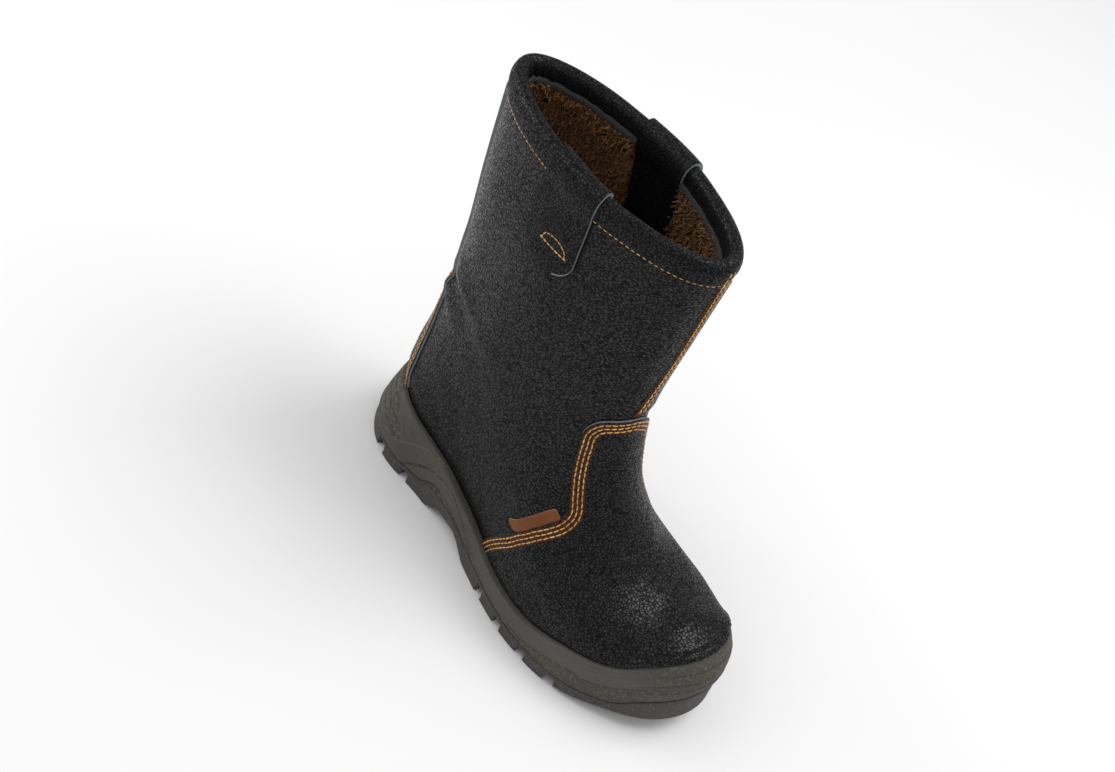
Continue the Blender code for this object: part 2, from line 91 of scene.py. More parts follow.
# Sole: bottom line and lugs
ARCH = 10.0
ARCH_SPAN = (-58, -42, -28, -4)
TOE_SPRING = 17.0
TOE_SPRING_SPAN = (72, 175)
HEEL_BEVEL = 4.0
HEEL_BEVEL_SPAN = (-118, -146)
LUG_DEPTH = 5.0
NOTCH = 5.0
NOTCH_SLOPE = 1.2
NOTCH_INSET = 3.0
NOTCH_STATIONS = (-103, -79, 17, 40, 63, 86)
LUG_LENGTH = 15.0
LUG_GROOVE = 5.0
LUG_PROUD = 1.0
TOE_FLARE = 2.0
LUG_SHOULDER = 1.0
LUG_CHAMFER = 0.5
LUG_CLEAR = 2.2
GROOVE_SLOPE = 1.0

# Side of the midsole, from its rim down, as in the part
WALL_COLUMNS = ("height", "heel", "side", "toe")
MIDSOLE_WALL = {
    "lip_crest": (1.0, 2.2, 2.2, 2.2),
    "lip_edge": (0.96, 4.6, 4.2, 4.6),
    "lip_foot": (0.84, 5.6, 4.8, 8.0),
    "upper_groove": (0.8, 4.6, 4.9, 7.6),
    "upper_rib": (0.75, 6.4, 5.1, 10.2),
    "upper_rib_foot": (0.62, 7.2, 5.3, 11.8),
    "middle_groove": (0.58, 6.2, 4.6, 10.8),
    "middle_rib": (0.53, 7.9, 5.4, 12.4),
    "middle_rib_foot": (0.41, 8.8, 5.8, 13.2),
    "lower_groove": (0.37, 8.0, 6.0, 12.6),
    "lower_rib": (0.32, 9.4, 6.3, 13.8),
    "lower_rib_foot": (0.16, 9.8, 6.6, 13.8),
    "step": (0.11, 9.0, 6.5, 12.6),
    "parting": (0.0, 8.7, 6.4, 12.0),
}
HEEL_ZONE = (-98, -58)
TOE_ZONE = (112, 146)

# Relief moulded in the midsole's side, as (x, height between parting line and rim)
SHIELD = ((-115, 1.02), (-91.5, 0.43), (-62, 1.02))
DASHES = (((-97.4, 0.78), (-90.1, 0.57)), ((-89.3, 0.83), (-84, 0.68)))
UPPER_BAND_TOP = (
    (-106, 0.12), (-97, 0.32), (-90.5, 0.47), (-81.3, 0.68), (-71.4, 0.87), (-61.8, 0.95), (-49, 0.985),
    (-34.7, 1.0), (0, 1.0),
)
UPPER_BAND_FOOT = (
    (-92, -0.08), (-82, 0.13), (-77.6, 0.26), (-67.4, 0.49), (-55, 0.65), (-40.9, 0.83), (-30.2, 0.75),
    (-12.8, 0.50), (1.9, 0.36), (12.5, 0.30), (28.3, 0.21), (43.2, 0.28), (54.9, 0.32), (67.2, 0.38),
    (80.4, 0.46), (94.3, 0.52), (103, 0.46), (112, 0.50),
)
LOWER_BAND_TOP = (
    (-86, -0.05), (-77, 0.14), (-72.8, 0.26), (-64.4, 0.46), (-51.3, 0.57), (-38.1, 0.75), (-27.9, 0.55),
    (-16, 0.28), (-4, 0.04), (6, -0.12),
)
LOWER_BAND_FOOT = (
    (-70, -0.06), (-64.4, 0.07), (-55, 0.26), (-45.3, 0.26), (-35.9, 0.24), (-24.4, 0.12), (-13.4, 0.0),
    (-5, -0.12),
)
BAND_PROUD = 1.3
SHIELD_PROUD = 0.4
PATCH_CUT = 0.8
BAND_SLOPE = 0.5
DASH_WIDTH = 0.6
DASH_CUT = 0.9
PLAIN_SPAN = 0.16
# Depth of a rib groove at full painted shade, and reach of the painted shadow under the bands' feet
GROOVE_DEPTH = 0.8
FOOT_SHADOW = 0.7
MOULD_LINE_WIDTH = 0.5
MOULD_LINE_CUT = 0.5

# Collar: section of the padded roll, as (out from the shaft's outer face, up from its edge)
SHAFT_TOP = RING["collar"] - 0.24
COLLAR_SECTION = (
    (0.5, 0.3), (1.5, 5.0), (1.2, 11.0), (-1.2, 15.0), (-4.2, 16.0), (-7.2, 14.0), (-8.6, 9.0),
    (-8.0, 2.0), (-6.0, -4.0), (-5.0, -12.0), (-2.7, -12.0), (-2.7, -5.0), (-2.7, 0.3),
)
FACING_FOOT = 9

# Pieces sewn on the upper, by turn in degrees from the toe (minus on the outer side) and ring
SEWN_FROM = RING["rim"] + 0.07
SEWN_TO = SHAFT_TOP - 0.03
# The vamp's cut edge, as (turn, ring, turn of the foot below it)
VAMP_EDGE = (
    (-94, 1.0, -93.6), (-92.3, 1.65, -88.5), (-86.1, 3.03, -79), (-77.3, 4.2, -68), (-67.2, 4.75, -57),
    (-56.6, 5.19, -46), (-48.5, 5.48, -37), (-43.7, 5.69, -30), (-41.9, 5.97, -25), (-40.9, 6.41, -20),
    (-39.5, 6.9, -15), (-37, 7.34, -10), (-31, 7.58, -6), (-18, 7.7, -2), (0, 7.72, 2), (13, 7.55, 7),
    (22, 7.3, 11), (28, 7.0, 15), (33, 6.6, 19), (37, 6.2, 24), (44, 5.68, 31), (53, 5.15, 42),
    (62.5, 4.72, 54), (73, 4.1, 66), (81, 3.1, 76), (87.5, 1.77, 84.5), (89.5, 1.0, 89.2),
)
BACK_STRIP_EDGE = ((1.0, 30), (3.0, 29.5), (5.7, 27), (8.4, 18), (10.0, 18))
FRONT_STRIP_EDGE = ((7.78, -13, 12), (8.3, -7, 14), (9.73, -6, 14))
FRONT_STRIP_CUT = 0.16
FRONT_STRIP_THIN = 0.15
FRONT_STRIP_FADE = 6
FRONT_ROW_TURN = ((7.8, -7.5), (8.3, -1.5), (9.8, -1.5))
LABEL_EDGE = (
    (-79.4, 4.12, -82.6, 4.15), (-70.3, 4.65, -73.0, 4.71), (-62.0, 5.01, -64.7, 5.07),
    (-54.6, 5.31, -57.2, 5.38), (-47.5, 5.56, -50.1, 5.64),
)
LABEL_TUCK = 0.045
TAB_TURN = 88.5
TAB_LEAN = 3
TAB_HALF_WIDTH = 20.0
TAB_OUTER_LEG = 45.0
TAB_INNER_LEG = 55.0
TAB_ROUND = 15.0
TAB_CORNER = 0.98
TAB_SHADE = 2.8
TAB_EDGE_SHOWN = 0.5
TAB_REAR_SHADE = 0.95
TAB_REAR_WIDTH = 1.2
TAB_OUTER_ROWS = (1.0, 0.85, 0.7, 0.5, 0.3, 0.06)
TAB_INNER_ROWS = (0.5, 0.75, 1.0)

# Shaft between its last two rings: height, and turning radius of its sides
RING_HEIGHT = 65.0
SHAFT_RADIUS = 89.0

# Seams: distances of the stitch rows from the cut edge, and the sizes of one stitch
VAMP_ROWS = (2.4, 5.1, 7.8)
STRIP_ROWS = (2.6, 5.2)
FRONT_ROW_GAP = 3.2
STITCH_PITCH = 4.1
STITCH_LENGTH = 3.1
THREAD_RADIUS = 0.42
STITCH_RISE, STITCH_SINK = 0.75, 0.9
STITCH_WOBBLE = 0.10
STITCH_SEED = 3
SEAM_TINT_WIDTH = 1.1
SEAM_PULL = 0.35
SEAM_PULL_WIDTH = 0.7
EDGE_ROUND = 0.9
EDGE_DROP = 0.5

# Soft creases of the leather: trough (minus) or ridge, with its place, half sizes and slant
CREASE_COLUMNS = ("ring", "turn", "length", "width", "slant", "height")
CREASES = (
    (7.00, -140, 26, 8.0, 12, -2.3),
    (7.45, -128, 34, 11.0, -14, 1.5),
    (6.60, -150, 22, 7.0, -8, 1.3),
    (7.00, 142, 26, 8.0, -10, -1.3),
    (7.50, 126, 34, 12.0, 14, 0.9),
    (5.35, -10, 24, 2.4, 4, -0.55),
    (5.62, 6, 26, 2.6, -4, -0.50),
    (5.05, 4, 30, 2.8, 2, -0.45),
    (4.85, -22, 20, 2.4, 10, -0.40),
    (6.85, 0, 22, 3.6, 0, -0.60),
    (8.30, -62, 16, 30.0, 24, 0.8),
    (8.55, -112, 15, 34.0, -16, -0.8),
    (8.35, 70, 16, 30.0, -20, 0.7),
    (9.10, 128, 15, 26.0, 12, -0.7),
    (2.55, 36, 30, 15.0, 0, 2.4),
)

# Crown of the toe, raised over the toe cap: height, middle and reach along and across the foot
TOE_CROWN = 6.0
TOE_CROWN_AT = (118, 8)
TOE_CROWN_REACH = (15, 30)

# Fur: the lining's face, as (up from the shaft's edge, out), the same where a tab covers it, and its locks
FUR_TOP = 2.0
FUR_FACE = ((-40, -4.4), (-16, -5.3), (-12, -5.8), (-4, -6.9), (2, -8.9))
FUR_UNDER_TAB = ((-40, -4.4), (-16, -4.4), (-12, -4.6), (-4, -5.2), (2, -7.2))
FUR_BACK = 2.7
FUR_FOOT = RING["tuck"] + 0.35
LOCK_LENGTH = 3.8
LOCK_WIDTH = 0.75
LOCKS_FROM = 7.35
LOCK_DENSITY = 250000.0
LOCK_LEAN = 0.75
LOCK_SIZES = (0.65, 1.3)
FUR_SEED = 7

# Felt under the roll: its section, as (out, up)
FELT_SECTION = ((-8.0, 4.8), (-9.5, 4.6), (-10.3, 3.2), (-9.9, 1.4), (-8.6, 0.8), (-7.6, 2.6))

# Gathers of the collar: heights, and places and spans along its section
FOLD_HEIGHT, FOLD_PLACE, FOLD_SPAN = 0.75, 0.50, 0.13
PUCKER_HEIGHT, PUCKER_PLACE, PUCKER_SPAN = 0.22, 0.10, 0.05
BACK_SPAN = 0.9

# Half-moon of stitches on a pull tab: half width, rise, foot and middle
MOON_HALF, MOON_RISE, MOON_FOOT, MOON_MIDDLE = 9.7, 5.5, -29.0, -3.7

# Colours of the finishes
LEATHER_DARK, LEATHER_LIGHT = (0.0085, 0.0085, 0.0096), (0.0135, 0.0133, 0.0144)
# Painted shade in the valleys between the leather's pebbles
VALLEY_SHADE_BLACK = (0.0022, 0.0022, 0.0026)
SEAM_ORANGE = (0.100, 0.031, 0.006)
SEAM_TINT_SHARE = 0.75
CUT_DARK, CUT_LIGHT = (0.055, 0.062, 0.068), (0.26, 0.29, 0.30)
FOAM_DARK, FOAM_LIGHT = (0.038, 0.034, 0.0265), (0.056, 0.051, 0.041)
RUBBER_DARK, RUBBER_LIGHT = (0.032, 0.029, 0.027), (0.048, 0.043, 0.040)
PATCH_BLACK = (0.030, 0.029, 0.029)
# Painted shade in the sole's grooves: its colour and strength
GROOVE_SHADE_BLACK = (0.012, 0.011, 0.010)
GROOVE_SHADE_SHARE = 0.65
SPECK_BRIGHTNESS = 2.2
THREAD_DARK, THREAD_LIGHT = (0.62, 0.24, 0.032), (0.95, 0.56, 0.165)
THREAD_CREVICE_SHADE = (0.18, 0.055, 0.010)
FUR_DARK, FUR_LIGHT = (0.18, 0.074, 0.018), (0.42, 0.190, 0.055)
FUR_PATCH, FUR_ROOT_SHADE = (0.12, 0.052, 0.016), (0.045, 0.019, 0.006)
FELT_DARK, FELT_LIGHT = (0.005, 0.005, 0.006), (0.060, 0.060, 0.062)
TAN_DARK, TAN_LIGHT = (0.115, 0.033, 0.0065), (0.175, 0.054, 0.0115)
TAN_CUT_DARK, TAN_CUT_LIGHT = (0.34, 0.17, 0.08), (0.50, 0.30, 0.17)
FLOOR_DARK, FLOOR_LIGHT = (0.84, 0.84, 0.84), (0.87, 0.87, 0.87)

# Leathers: pebbles in a metre, their squeeze, depth in metres, roughness and gloss
SHAFT_GRAIN = (370, 2.0, 0.00034, 0.26, 0.64)
VAMP_GRAIN = (480, 1.25, 0.00026, 0.31, 0.58)
COLLAR_GRAIN = (520, 1.20, 0.00016, 0.36, 0.42)

# Lights: place, size and power, and the strength of the light surround
LIGHTS = {
    "low_light": ((-1.5, -0.7, 0.6), 0.6, 7),
    "top_light": ((0.40, 0.60, 1.60), 1.0, 14),
    "left_light": ((-0.9, -0.9, 1.6), 1.0, 4),
}
LIGHT_TARGET = (0, 0, 0.12)
SURROUND = 0.68
FLOOR_REACH = 4.0

# Camera, fitted to the photo: degrees, metres and millimetres of lens, and where its target falls
PHOTO_SIZE = (1115, 772)
CAMERA_AZIMUTH = 26.08
CAMERA_ELEVATION = 45.43
CAMERA_ROLL = 30.83
CAMERA_DISTANCE = 1.031
CAMERA_LENS = 55.4
CAMERA_TARGET = (-0.0019, -0.0004, 0.130)
TARGET_PIXEL = (594, 419)

# Numbers of mesh columns and rows
AROUND = 300
UPPER_ROWS = 190
SOLE_AROUND = 600
SOLE_ROWS = 64
SLOPE_STEP = 0.002
EDGE_STEPS = (0.0, 0.3, 0.7, 1.2, 1.8, 2.4, 3.0, 3.7, 4.4, 5.1, 5.8, 6.5, 7.2, 7.8, 8.5, 9.5, 10.5)


def ease(start, end, value):
    """Smooth step from 0 at start to 1 at end."""
    part = np.clip((value - start) / (end - start), 0, 1)
    return part * part * (3 - 2 * part)


def curve(stations, heights, at):
    """Smooth curve through a few stations, read at other places and level beyond its ends."""
    stations = np.asarray(stations, float)
    heights = np.asarray(heights, float)
    slopes = np.gradient(heights, stations)
    at = np.clip(np.asarray(at, float), stations[0], stations[-1])
    left = np.clip(np.searchsorted(stations, at) - 1, 0, len(stations) - 2)
    length = stations[left + 1] - stations[left]
    part = (at - stations[left]) / length
    rest = 1 - part
    return (
        heights[left] * (1 + 2 * part) * rest ** 2
        + slopes[left] * length * part * rest ** 2
        + heights[left + 1] * part ** 2 * (3 - 2 * part)
        - slopes[left + 1] * length * part ** 2 * rest
    )


def line(points, at):
    """Height of one of the lines along the foot."""
    stations, heights = zip(*points)
    return curve(stations, heights, at)


def round_end(distance, length):
    """Share of the full width at a distance from a rounded end."""
    return np.sqrt(np.clip(1 - np.clip(1 - distance / length, 0, 1) ** ROUNDNESS, 0, 1))


def last_surface(ring, turn):
    """Outer face of the upper at ring numbers and turns (0 at the toe, pi at the heel)."""
    ring, turn = np.broadcast_arrays(np.clip(ring, 0, RING["collar"]), np.asarray(turn, float))
    table = np.array(list(SECTIONS.values()), float)
    size = {name: curve(range(len(table)), table[:, k], ring) for k, name in enumerate(SECTION_COLUMNS)}
    ahead = table[:, SECTION_COLUMNS.index("front_z")]
    below = np.minimum(ring.astype(int), len(table) - 2)
    size["front_z"] = np.clip(size["front_z"], ahead[below], ahead[below + 1])
    chord = size["front_x"] - size["back_x"]
    forward = (1 + np.cos(turn)) / 2
    x = size["back_x"] + chord * forward
    straight = size["back_z"] + (size["front_z"] - size["back_z"]) * forward
    rim = dict(zip(SECTION_COLUMNS, SECTIONS["rim"]))
    rim_slope = (rim["front_z"] - rim["back_z"]) / (rim["front_x"] - rim["back_x"])
    bow = line(RIM_LINE, x) - rim["back_z"] - rim_slope * (x - rim["back_x"])
    above = straight + bow * (1 - ease(RING["rim"], RIM_BOW_ENDS, ring))
    inside_tray = line(BED_LINE, x) * (1 - ring) + line(RIM_LINE, x) * ring
    z = np.where(ring < RING["rim"], inside_tray, above)
    half = size["heel"] + (size["waist"] - size["heel"]) * ease(HEEL_X, WAIST_X, x)
    half = half + (size["ball"] - size["waist"]) * ease(WAIST_X, BALL_X, x)
    half = half * round_end(forward * chord, size["tail"]) * round_end((1 - forward) * chord, size["nose"])
    middle = line(CENTRE_LINE, x) * (1 - ease(*CENTRE_CURVE_SPAN, ring))
    return np.stack([x, middle + half * np.sign(np.sin(turn)), z], axis=-1)


def surface_axes(ring, turn):
    """Millimetres moved on the last for each radian of turn and for each ring."""
    around = last_surface(ring, turn + SLOPE_STEP) - last_surface(ring, turn - SLOPE_STEP)
    upward = last_surface(ring + SLOPE_STEP, turn) - last_surface(ring - SLOPE_STEP, turn)
    return around / (2 * SLOPE_STEP), upward / (2 * SLOPE_STEP)


def unit(vectors):
    """Vectors brought to length 1."""
    return vectors / np.linalg.norm(vectors, axis=-1, keepdims=True)


def surface_normal(ring, turn):
    """Outward normal of the last."""
    return unit(np.cross(*surface_axes(ring, turn)))


def crease_height(ring, turn):
    """How far the creased leather stands out from the last, or lies under it."""
    total = np.zeros(np.broadcast(ring, turn).shape)
    for row in CREASES:
        crease = dict(zip(CREASE_COLUMNS, row))
        centre = np.radians(crease["turn"])
        around, upward = (np.linalg.norm(axis) for axis in surface_axes(crease["ring"], centre))
        sideways = (np.mod(turn - centre + np.pi, 2 * np.pi) - np.pi) * around
        rise = (ring - crease["ring"]) * upward
        slant = np.radians(crease["slant"])
        along = (sideways * np.cos(slant) + rise * np.sin(slant)) / crease["length"]
        across = (rise * np.cos(slant) - sideways * np.sin(slant)) / crease["width"]
        total = total + crease["height"] * (1 - across ** 2) * np.exp(-along ** 2 - across ** 2)
    return total


def upper_point(ring, turn, out=0.0):
    """Point at a distance out from the creased outer face of the upper."""
    ring, turn = np.broadcast_arrays(np.asarray(ring, float), np.asarray(turn, float))
    place = last_surface(ring, turn)
    crown = TOE_CROWN * np.exp(-np.sum(((place[..., :2] - TOE_CROWN_AT) / TOE_CROWN_REACH) ** 2, axis=-1))
    away = np.asarray(out, float) + crease_height(ring, turn) + crown
    return place + surface_normal(ring, turn) * away[..., None]


def walk(ring, turn, direction, distance):
    """Rings and turns reached by going a distance over the last, along directions in space."""
    ring, turn = ring.copy(), turn.copy()
    steps = max(1, int(np.ceil(np.max(np.abs(distance)))))
    for _ in range(steps):
        around, upward = surface_axes(ring, turn)
        pairs = ((around, around), (around, upward), (upward, upward))
        aa, au, uu = (np.sum(first * second, axis=-1) for first, second in pairs)
        to_around, to_upward = np.sum(around * direction, axis=-1), np.sum(upward * direction, axis=-1)
        area = aa * uu - au ** 2
        turn += (uu * to_around - au * to_upward) / area * distance / steps
        ring += (aa * to_upward - au * to_around) / area * distance / steps
    return ring, turn


def sole_outline(turn, out):
    """Outline of the sole: the rim of the last moved out sideways, with the rim's heights."""
    rim = last_surface(RING["rim"], turn)
    along = last_surface(RING["rim"], turn + SLOPE_STEP) - last_surface(RING["rim"], turn - SLOPE_STEP)
    normal = unit(np.stack([along[:, 1], -along[:, 0]], axis=-1))
    rim[:, :2] += normal * np.asarray(out, float).reshape(-1, 1)
    return rim


def bottom_height(x):
    """Underside of the sole: flat heel and forefoot, arch, toe spring and heel bevel."""
    back, high_back, high_front, front = ARCH_SPAN
    arch = ARCH * ease(back, high_back, x) * (1 - ease(high_front, front, x))
    return arch + TOE_SPRING * ease(*TOE_SPRING_SPAN, x) + HEEL_BEVEL * ease(*HEEL_BEVEL_SPAN, x)


def collar_point(turn, out, up):
    """Point near the shaft's edge: along the wall below it, straight on above it."""
    turn, out, up = np.broadcast_arrays(turn, np.asarray(out, float), np.asarray(up, float))
    on_wall = upper_point(SHAFT_TOP + np.minimum(up, 0) / RING_HEIGHT, turn, out)
    rise = unit(last_surface(SHAFT_TOP, turn) - last_surface(SHAFT_TOP - 0.05, turn))
    return on_wall + rise * np.maximum(up, 0)[..., None]


def even_stations(points, count, closed):
    """Positions along a dense path, in its own index, that lie evenly by length."""
    lengths = np.linalg.norm(np.diff(points, axis=0), axis=-1)
    total = np.concatenate([[0], np.cumsum(lengths)])
    wanted = np.linspace(0, total[-1], count + 1 if closed else count)[:count]
    return np.interp(wanted, total, np.arange(len(points)))


def even_turns(count, ring):
    """Turns that lie evenly by length around a ring."""
    dense = np.linspace(0, 2 * np.pi, 1441)
    return np.interp(even_stations(last_surface(ring, dense), count, True), np.arange(len(dense)), dense)


def even_rings(count, low, high):
    """Rings that lie evenly by their widest spacing up the boot."""
    dense = np.linspace(low, high, 800)
    paths = [last_surface(dense, turn) for turn in (0, np.pi / 2, np.pi)]
    steps = np.max([np.linalg.norm(np.diff(path, axis=0), axis=-1) for path in paths], axis=0)
    total = np.concatenate([[0], np.cumsum(steps)])
    return np.interp(np.linspace(0, total[-1], count), total, dense)


def smooth_path(points, count, closed=False):
    """Even points on a smooth curve through a few points."""
    points = np.asarray(points, float)
    if closed:
        points = np.concatenate([points[-2:], points, points[:3]])
    lengths = np.concatenate([[0], np.cumsum(np.linalg.norm(np.diff(points, axis=0), axis=-1))])
    first, last = (lengths[2], lengths[-3]) if closed else (lengths[0], lengths[-1])
    at = np.linspace(first, last, count + 1 if closed else count)[:count]
    return np.stack([curve(lengths, points[:, k], at) for k in range(points.shape[1])], axis=-1)


def path_distance(x, z, path):
    """Least distance from places on the sole's side to a dense path."""
    nearest = np.full(np.shape(x), np.inf)
    for here_x, here_z in path:
        nearest = np.minimum(nearest, np.hypot(x - here_x, z - here_z))
    return nearest


def signed_volume(points, faces):
    """Volume of a closed mesh, negative where its faces point in."""
    total = 0.0
    for size in {len(face) for face in faces}:
        corners = points[np.array([face for face in faces if len(face) == size])]
        for k in range(1, size - 1):
            total += np.sum(corners[:, 0] * np.cross(corners[:, k], corners[:, k + 1]))
    return total / 6


def in_metres(points):
    """Points in millimetres brought to metres, from the middle of the boot's box."""
    return (np.asarray(points, float) - np.array([*BOX_MIDDLE, 0])) * MM


def add_piece(name, points, faces, finishes, face_finish=None):
    """Mesh object from points in millimetres, with its faces turned outwards."""
    points = in_metres(points)
    if signed_volume(points, faces) < 0:
        faces = [face[::-1] for face in faces]
    mesh = bpy.data.meshes.new(name)
    mesh.from_pydata(points.tolist(), [], faces)
    for finish in finishes:
        mesh.materials.append(finish)
    if face_finish is not None:
        mesh.polygons.foreach_set("material_index", face_finish)
    mesh.shade_smooth()
    mesh.set_sharp_from_angle(angle=np.radians(50))
    piece = bpy.data.objects.new(name, mesh)
    bpy.context.collection.objects.link(piece)
    return piece


def grid_faces(rows, columns, around):
    """Quads between neighbouring rows of a grid, closed around its columns or left open."""
    last = columns if around else columns - 1
    return [
        (row * columns + k, row * columns + (k + 1) % columns,
         (row + 1) * columns + (k + 1) % columns, (row + 1) * columns + k)
        for row in range(rows - 1) for k in range(last)
    ]


def add_tube(name, loops, finish):
    """Solid between closed loops whose last loop meets the first: a ring with an open middle."""
    rows, columns = len(loops), len(loops[0])
    faces = grid_faces(rows + 1, columns, True)
    count = rows * columns
    faces = [tuple(k % count for k in face) for face in faces]
    return add_piece(name, np.concatenate(loops), faces, [finish])


def cap_faces(first, columns):
    """Faces that close a loop by joining each column to the one across from it."""
    half = columns // 2
    faces = [(first, first + 1, first + columns - 1), (first + half - 1, first + half, first + half + 1)]
    for k in range(1, half - 1):
        faces.append((first + k, first + k + 1, first + columns - k - 1, first + columns - k))
    return faces


def add_block(name, loops, finish):
    """Solid between closed loops, closed over its first and its last loop."""
    rows, columns = len(loops), len(loops[0])
    faces = grid_faces(rows, columns, True)
    faces += [face[::-1] for face in cap_faces(0, columns)]
    faces += cap_faces((rows - 1) * columns, columns)
    return add_piece(name, np.concatenate(loops), faces, [finish])


def add_sheet(name, inner, outer, finish, edge_finish):
    """Solid between two open grids, with the cut edges in a finish of their own."""
    rows, columns = inner.shape[:2]
    count = rows * columns
    flat = grid_faces(rows, columns, False)
    rim = list(range(columns))
    rim += [row * columns + columns - 1 for row in range(1, rows)]
    rim += [(rows - 1) * columns + k for k in range(columns - 2, -1, -1)]
    rim += [row * columns for row in range(rows - 2, 0, -1)]
    edges = [(here, after, after + count, here + count) for here, after in zip(rim, rim[1:] + rim[:1])]
    faces = [face[::-1] for face in flat] + [tuple(k + count for k in face) for face in flat] + edges
    face_finish = [0] * (2 * len(flat)) + [1] * len(edges)
    points = np.concatenate([inner.reshape(-1, 3), outer.reshape(-1, 3)])
    return add_piece(name, points, faces, [finish, edge_finish], face_finish)


def set_attribute(piece, name, values):
    """Number at each point of a piece, for its finish to read."""
    attribute = piece.data.attributes.new(name, "FLOAT", "POINT")
    attribute.data.foreach_set("value", np.asarray(values, float).ravel())


def set_seam_tint(piece, apart):
    """Share of orange tint on a sheet's outer face, from distances to its stitch rows."""
    outer = np.exp(-(apart / SEAM_TINT_WIDTH) ** 2).ravel()
    set_attribute(piece, "seam_tint", np.concatenate([0 * outer, outer]))


def seam_relief(distance, rows):
    """Height of a sewn sheet near its cut edge: rounded at the cut and pulled in along the stitch rows."""
    near = np.clip(1 - distance / EDGE_ROUND, 0, 1)
    relief = -EDGE_DROP * (1 - np.sqrt(1 - near ** 2))
    for row in rows:
        relief = relief - SEAM_PULL * np.exp(-((distance - row) / SEAM_PULL_WIDTH) ** 2)
    return relief


def new_group(name, kind, inputs, outputs):
    """Node group with named sockets, and its input and output nodes."""
    tree = bpy.data.node_groups.new(name, kind)
    for label, socket, value in inputs:
        item = tree.interface.new_socket(name=label, in_out="INPUT", socket_type=socket)
        if value is not None:
            item.default_value = value
    for label, socket in outputs:
        tree.interface.new_socket(name=label, in_out="OUTPUT", socket_type=socket)
    return tree, tree.nodes.new("NodeGroupInput").outputs, tree.nodes.new("NodeGroupOutput").inputs


def find_input(node, key):
    """Input of a node by its number, its identifier or its name."""
    if isinstance(key, int):
        return node.inputs[key]
    matches = [socket for socket in node.inputs if socket.identifier == key]
    matches += [socket for socket in node.inputs if socket.name == key]
    return matches[0]


def add_node(tree, kind, inputs=None, **settings):
    """Node with its settings, and inputs given as sockets to link or as plain values."""
    node = tree.nodes.new(kind)
    for name, value in settings.items():
        setattr(node, name, value)
    for key, value in (inputs or {}).items():
        if isinstance(value, bpy.types.NodeSocket):
            tree.links.new(value, find_input(node, key))
        else:
            find_input(node, key).default_value = value
    return node


def maths(tree, operation, first, second=0.0, third=0.0):
    """Result of one sum in a node tree."""
    inputs = {0: first, 1: second, 2: third}
    return add_node(tree, "ShaderNodeMath", inputs, operation=operation).outputs[0]


def vector_maths(tree, operation, first, second):
    """Result of one sum of vectors in a node tree."""
    inputs = {0: first, 1: second}
    return add_node(tree, "ShaderNodeVectorMath", inputs, operation=operation).outputs[0]


def vector(tree, x=0.0, y=0.0, z=0.0):
    """Vector put together from its parts."""
    return add_node(tree, "ShaderNodeCombineXYZ", {0: x, 1: y, 2: z}).outputs[0]


def object_place(tree):
    """Place on the piece, in the piece's own frame."""
    return add_node(tree, "ShaderNodeTexCoord").outputs["Object"]


def read_attribute(tree, name):
    """Number that a piece keeps at each of its points."""
    return add_node(tree, "ShaderNodeAttribute", attribute_name=name).outputs["Fac"]


def cell_distance(tree, place, scale):
    """Distance from the nearest edge between cells."""
    inputs = {"Vector": place, "Scale": scale}
    return add_node(tree, "ShaderNodeTexVoronoi", inputs, feature="DISTANCE_TO_EDGE").outputs["Distance"]


def spread(tree, value, low, high, new_low, new_high, kind="LINEAR"):
    """Value brought from one range to another, held at its ends."""
    ranges = {"Value": value, "From Min": low, "From Max": high, "To Min": new_low, "To Max": new_high}
    return add_node(tree, "ShaderNodeMapRange", ranges, interpolation_type=kind).outputs["Result"]


def blend(tree, share, first, second):
    """Colour between two colours."""
    node = add_node(tree, "ShaderNodeMix", data_type="RGBA")
    for socket, value in ((node.inputs[0], share), (node.inputs[6], first), (node.inputs[7], second)):
        if isinstance(value, bpy.types.NodeSocket):
            tree.links.new(value, socket)
        else:
            socket.default_value = (*value, 1) if isinstance(value, tuple) else value
    return node.outputs[2]


def noise(tree, place, scale, detail=2.0, roughness=0.5, output="Fac"):
    """Noise texture at places, as a value or as a colour."""
    inputs = {"Vector": place, "Scale": scale, "Detail": detail, "Roughness": roughness}
    return add_node(tree, "ShaderNodeTexNoise", inputs).outputs[output]


def contrast(tree, value):
    """Noise with its middle range spread out to the full range."""
    return spread(tree, value, 0.3, 0.7, 0.0, 1.0)


def make_pebbled_grain():
    """Group for grained leather: rounded pebbles with valleys between them, and slow changes of tone."""
    tree, given, result = new_group(
        "pebbled_grain", "ShaderNodeTree",
        (("Pebbles per metre", "NodeSocketFloat", 700.0), ("Squeeze", "NodeSocketFloat", 1.4),
         ("Waviness", "NodeSocketFloat", 0.5)),
        (("Height", "NodeSocketFloat"), ("Valley", "NodeSocketFloat"), ("Tone", "NodeSocketFloat")),
    )
    place = object_place(tree)
    size = given["Pebbles per metre"]
    upright = maths(tree, "MULTIPLY", size, given["Squeeze"])
    scaled = vector_maths(tree, "MULTIPLY", place, vector(tree, size, size, upright))
    drift = vector_maths(tree, "SUBTRACT", noise(tree, scaled, 0.6, output="Color"), (0.5, 0.5, 0.5))
    drift = add_node(
        tree, "ShaderNodeVectorMath", {0: drift, "Scale": given["Waviness"]}, operation="SCALE",
    ).outputs[0]
    bent = vector_maths(tree, "ADD", scaled, drift)
    pebble = spread(tree, cell_distance(tree, bent, 1.0), 0.0, 0.32, 0.0, 1.0, "SMOOTHSTEP")
    fine = spread(tree, cell_distance(tree, bent, 2.3), 0.0, 0.30, 0.0, 1.0, "SMOOTHSTEP")
    swell = noise(tree, scaled, 0.22, 3.0)
    height = maths(tree, "MULTIPLY_ADD", fine, 0.15, maths(tree, "MULTIPLY", pebble, 0.85))
    height = maths(tree, "MULTIPLY_ADD", swell, 0.6, height)
    tree.links.new(height, result["Height"])
    tree.links.new(maths(tree, "SUBTRACT", 1.0, pebble), result["Valley"])
    tree.links.new(noise(tree, place, 22.0, 3.0), result["Tone"])
    return tree


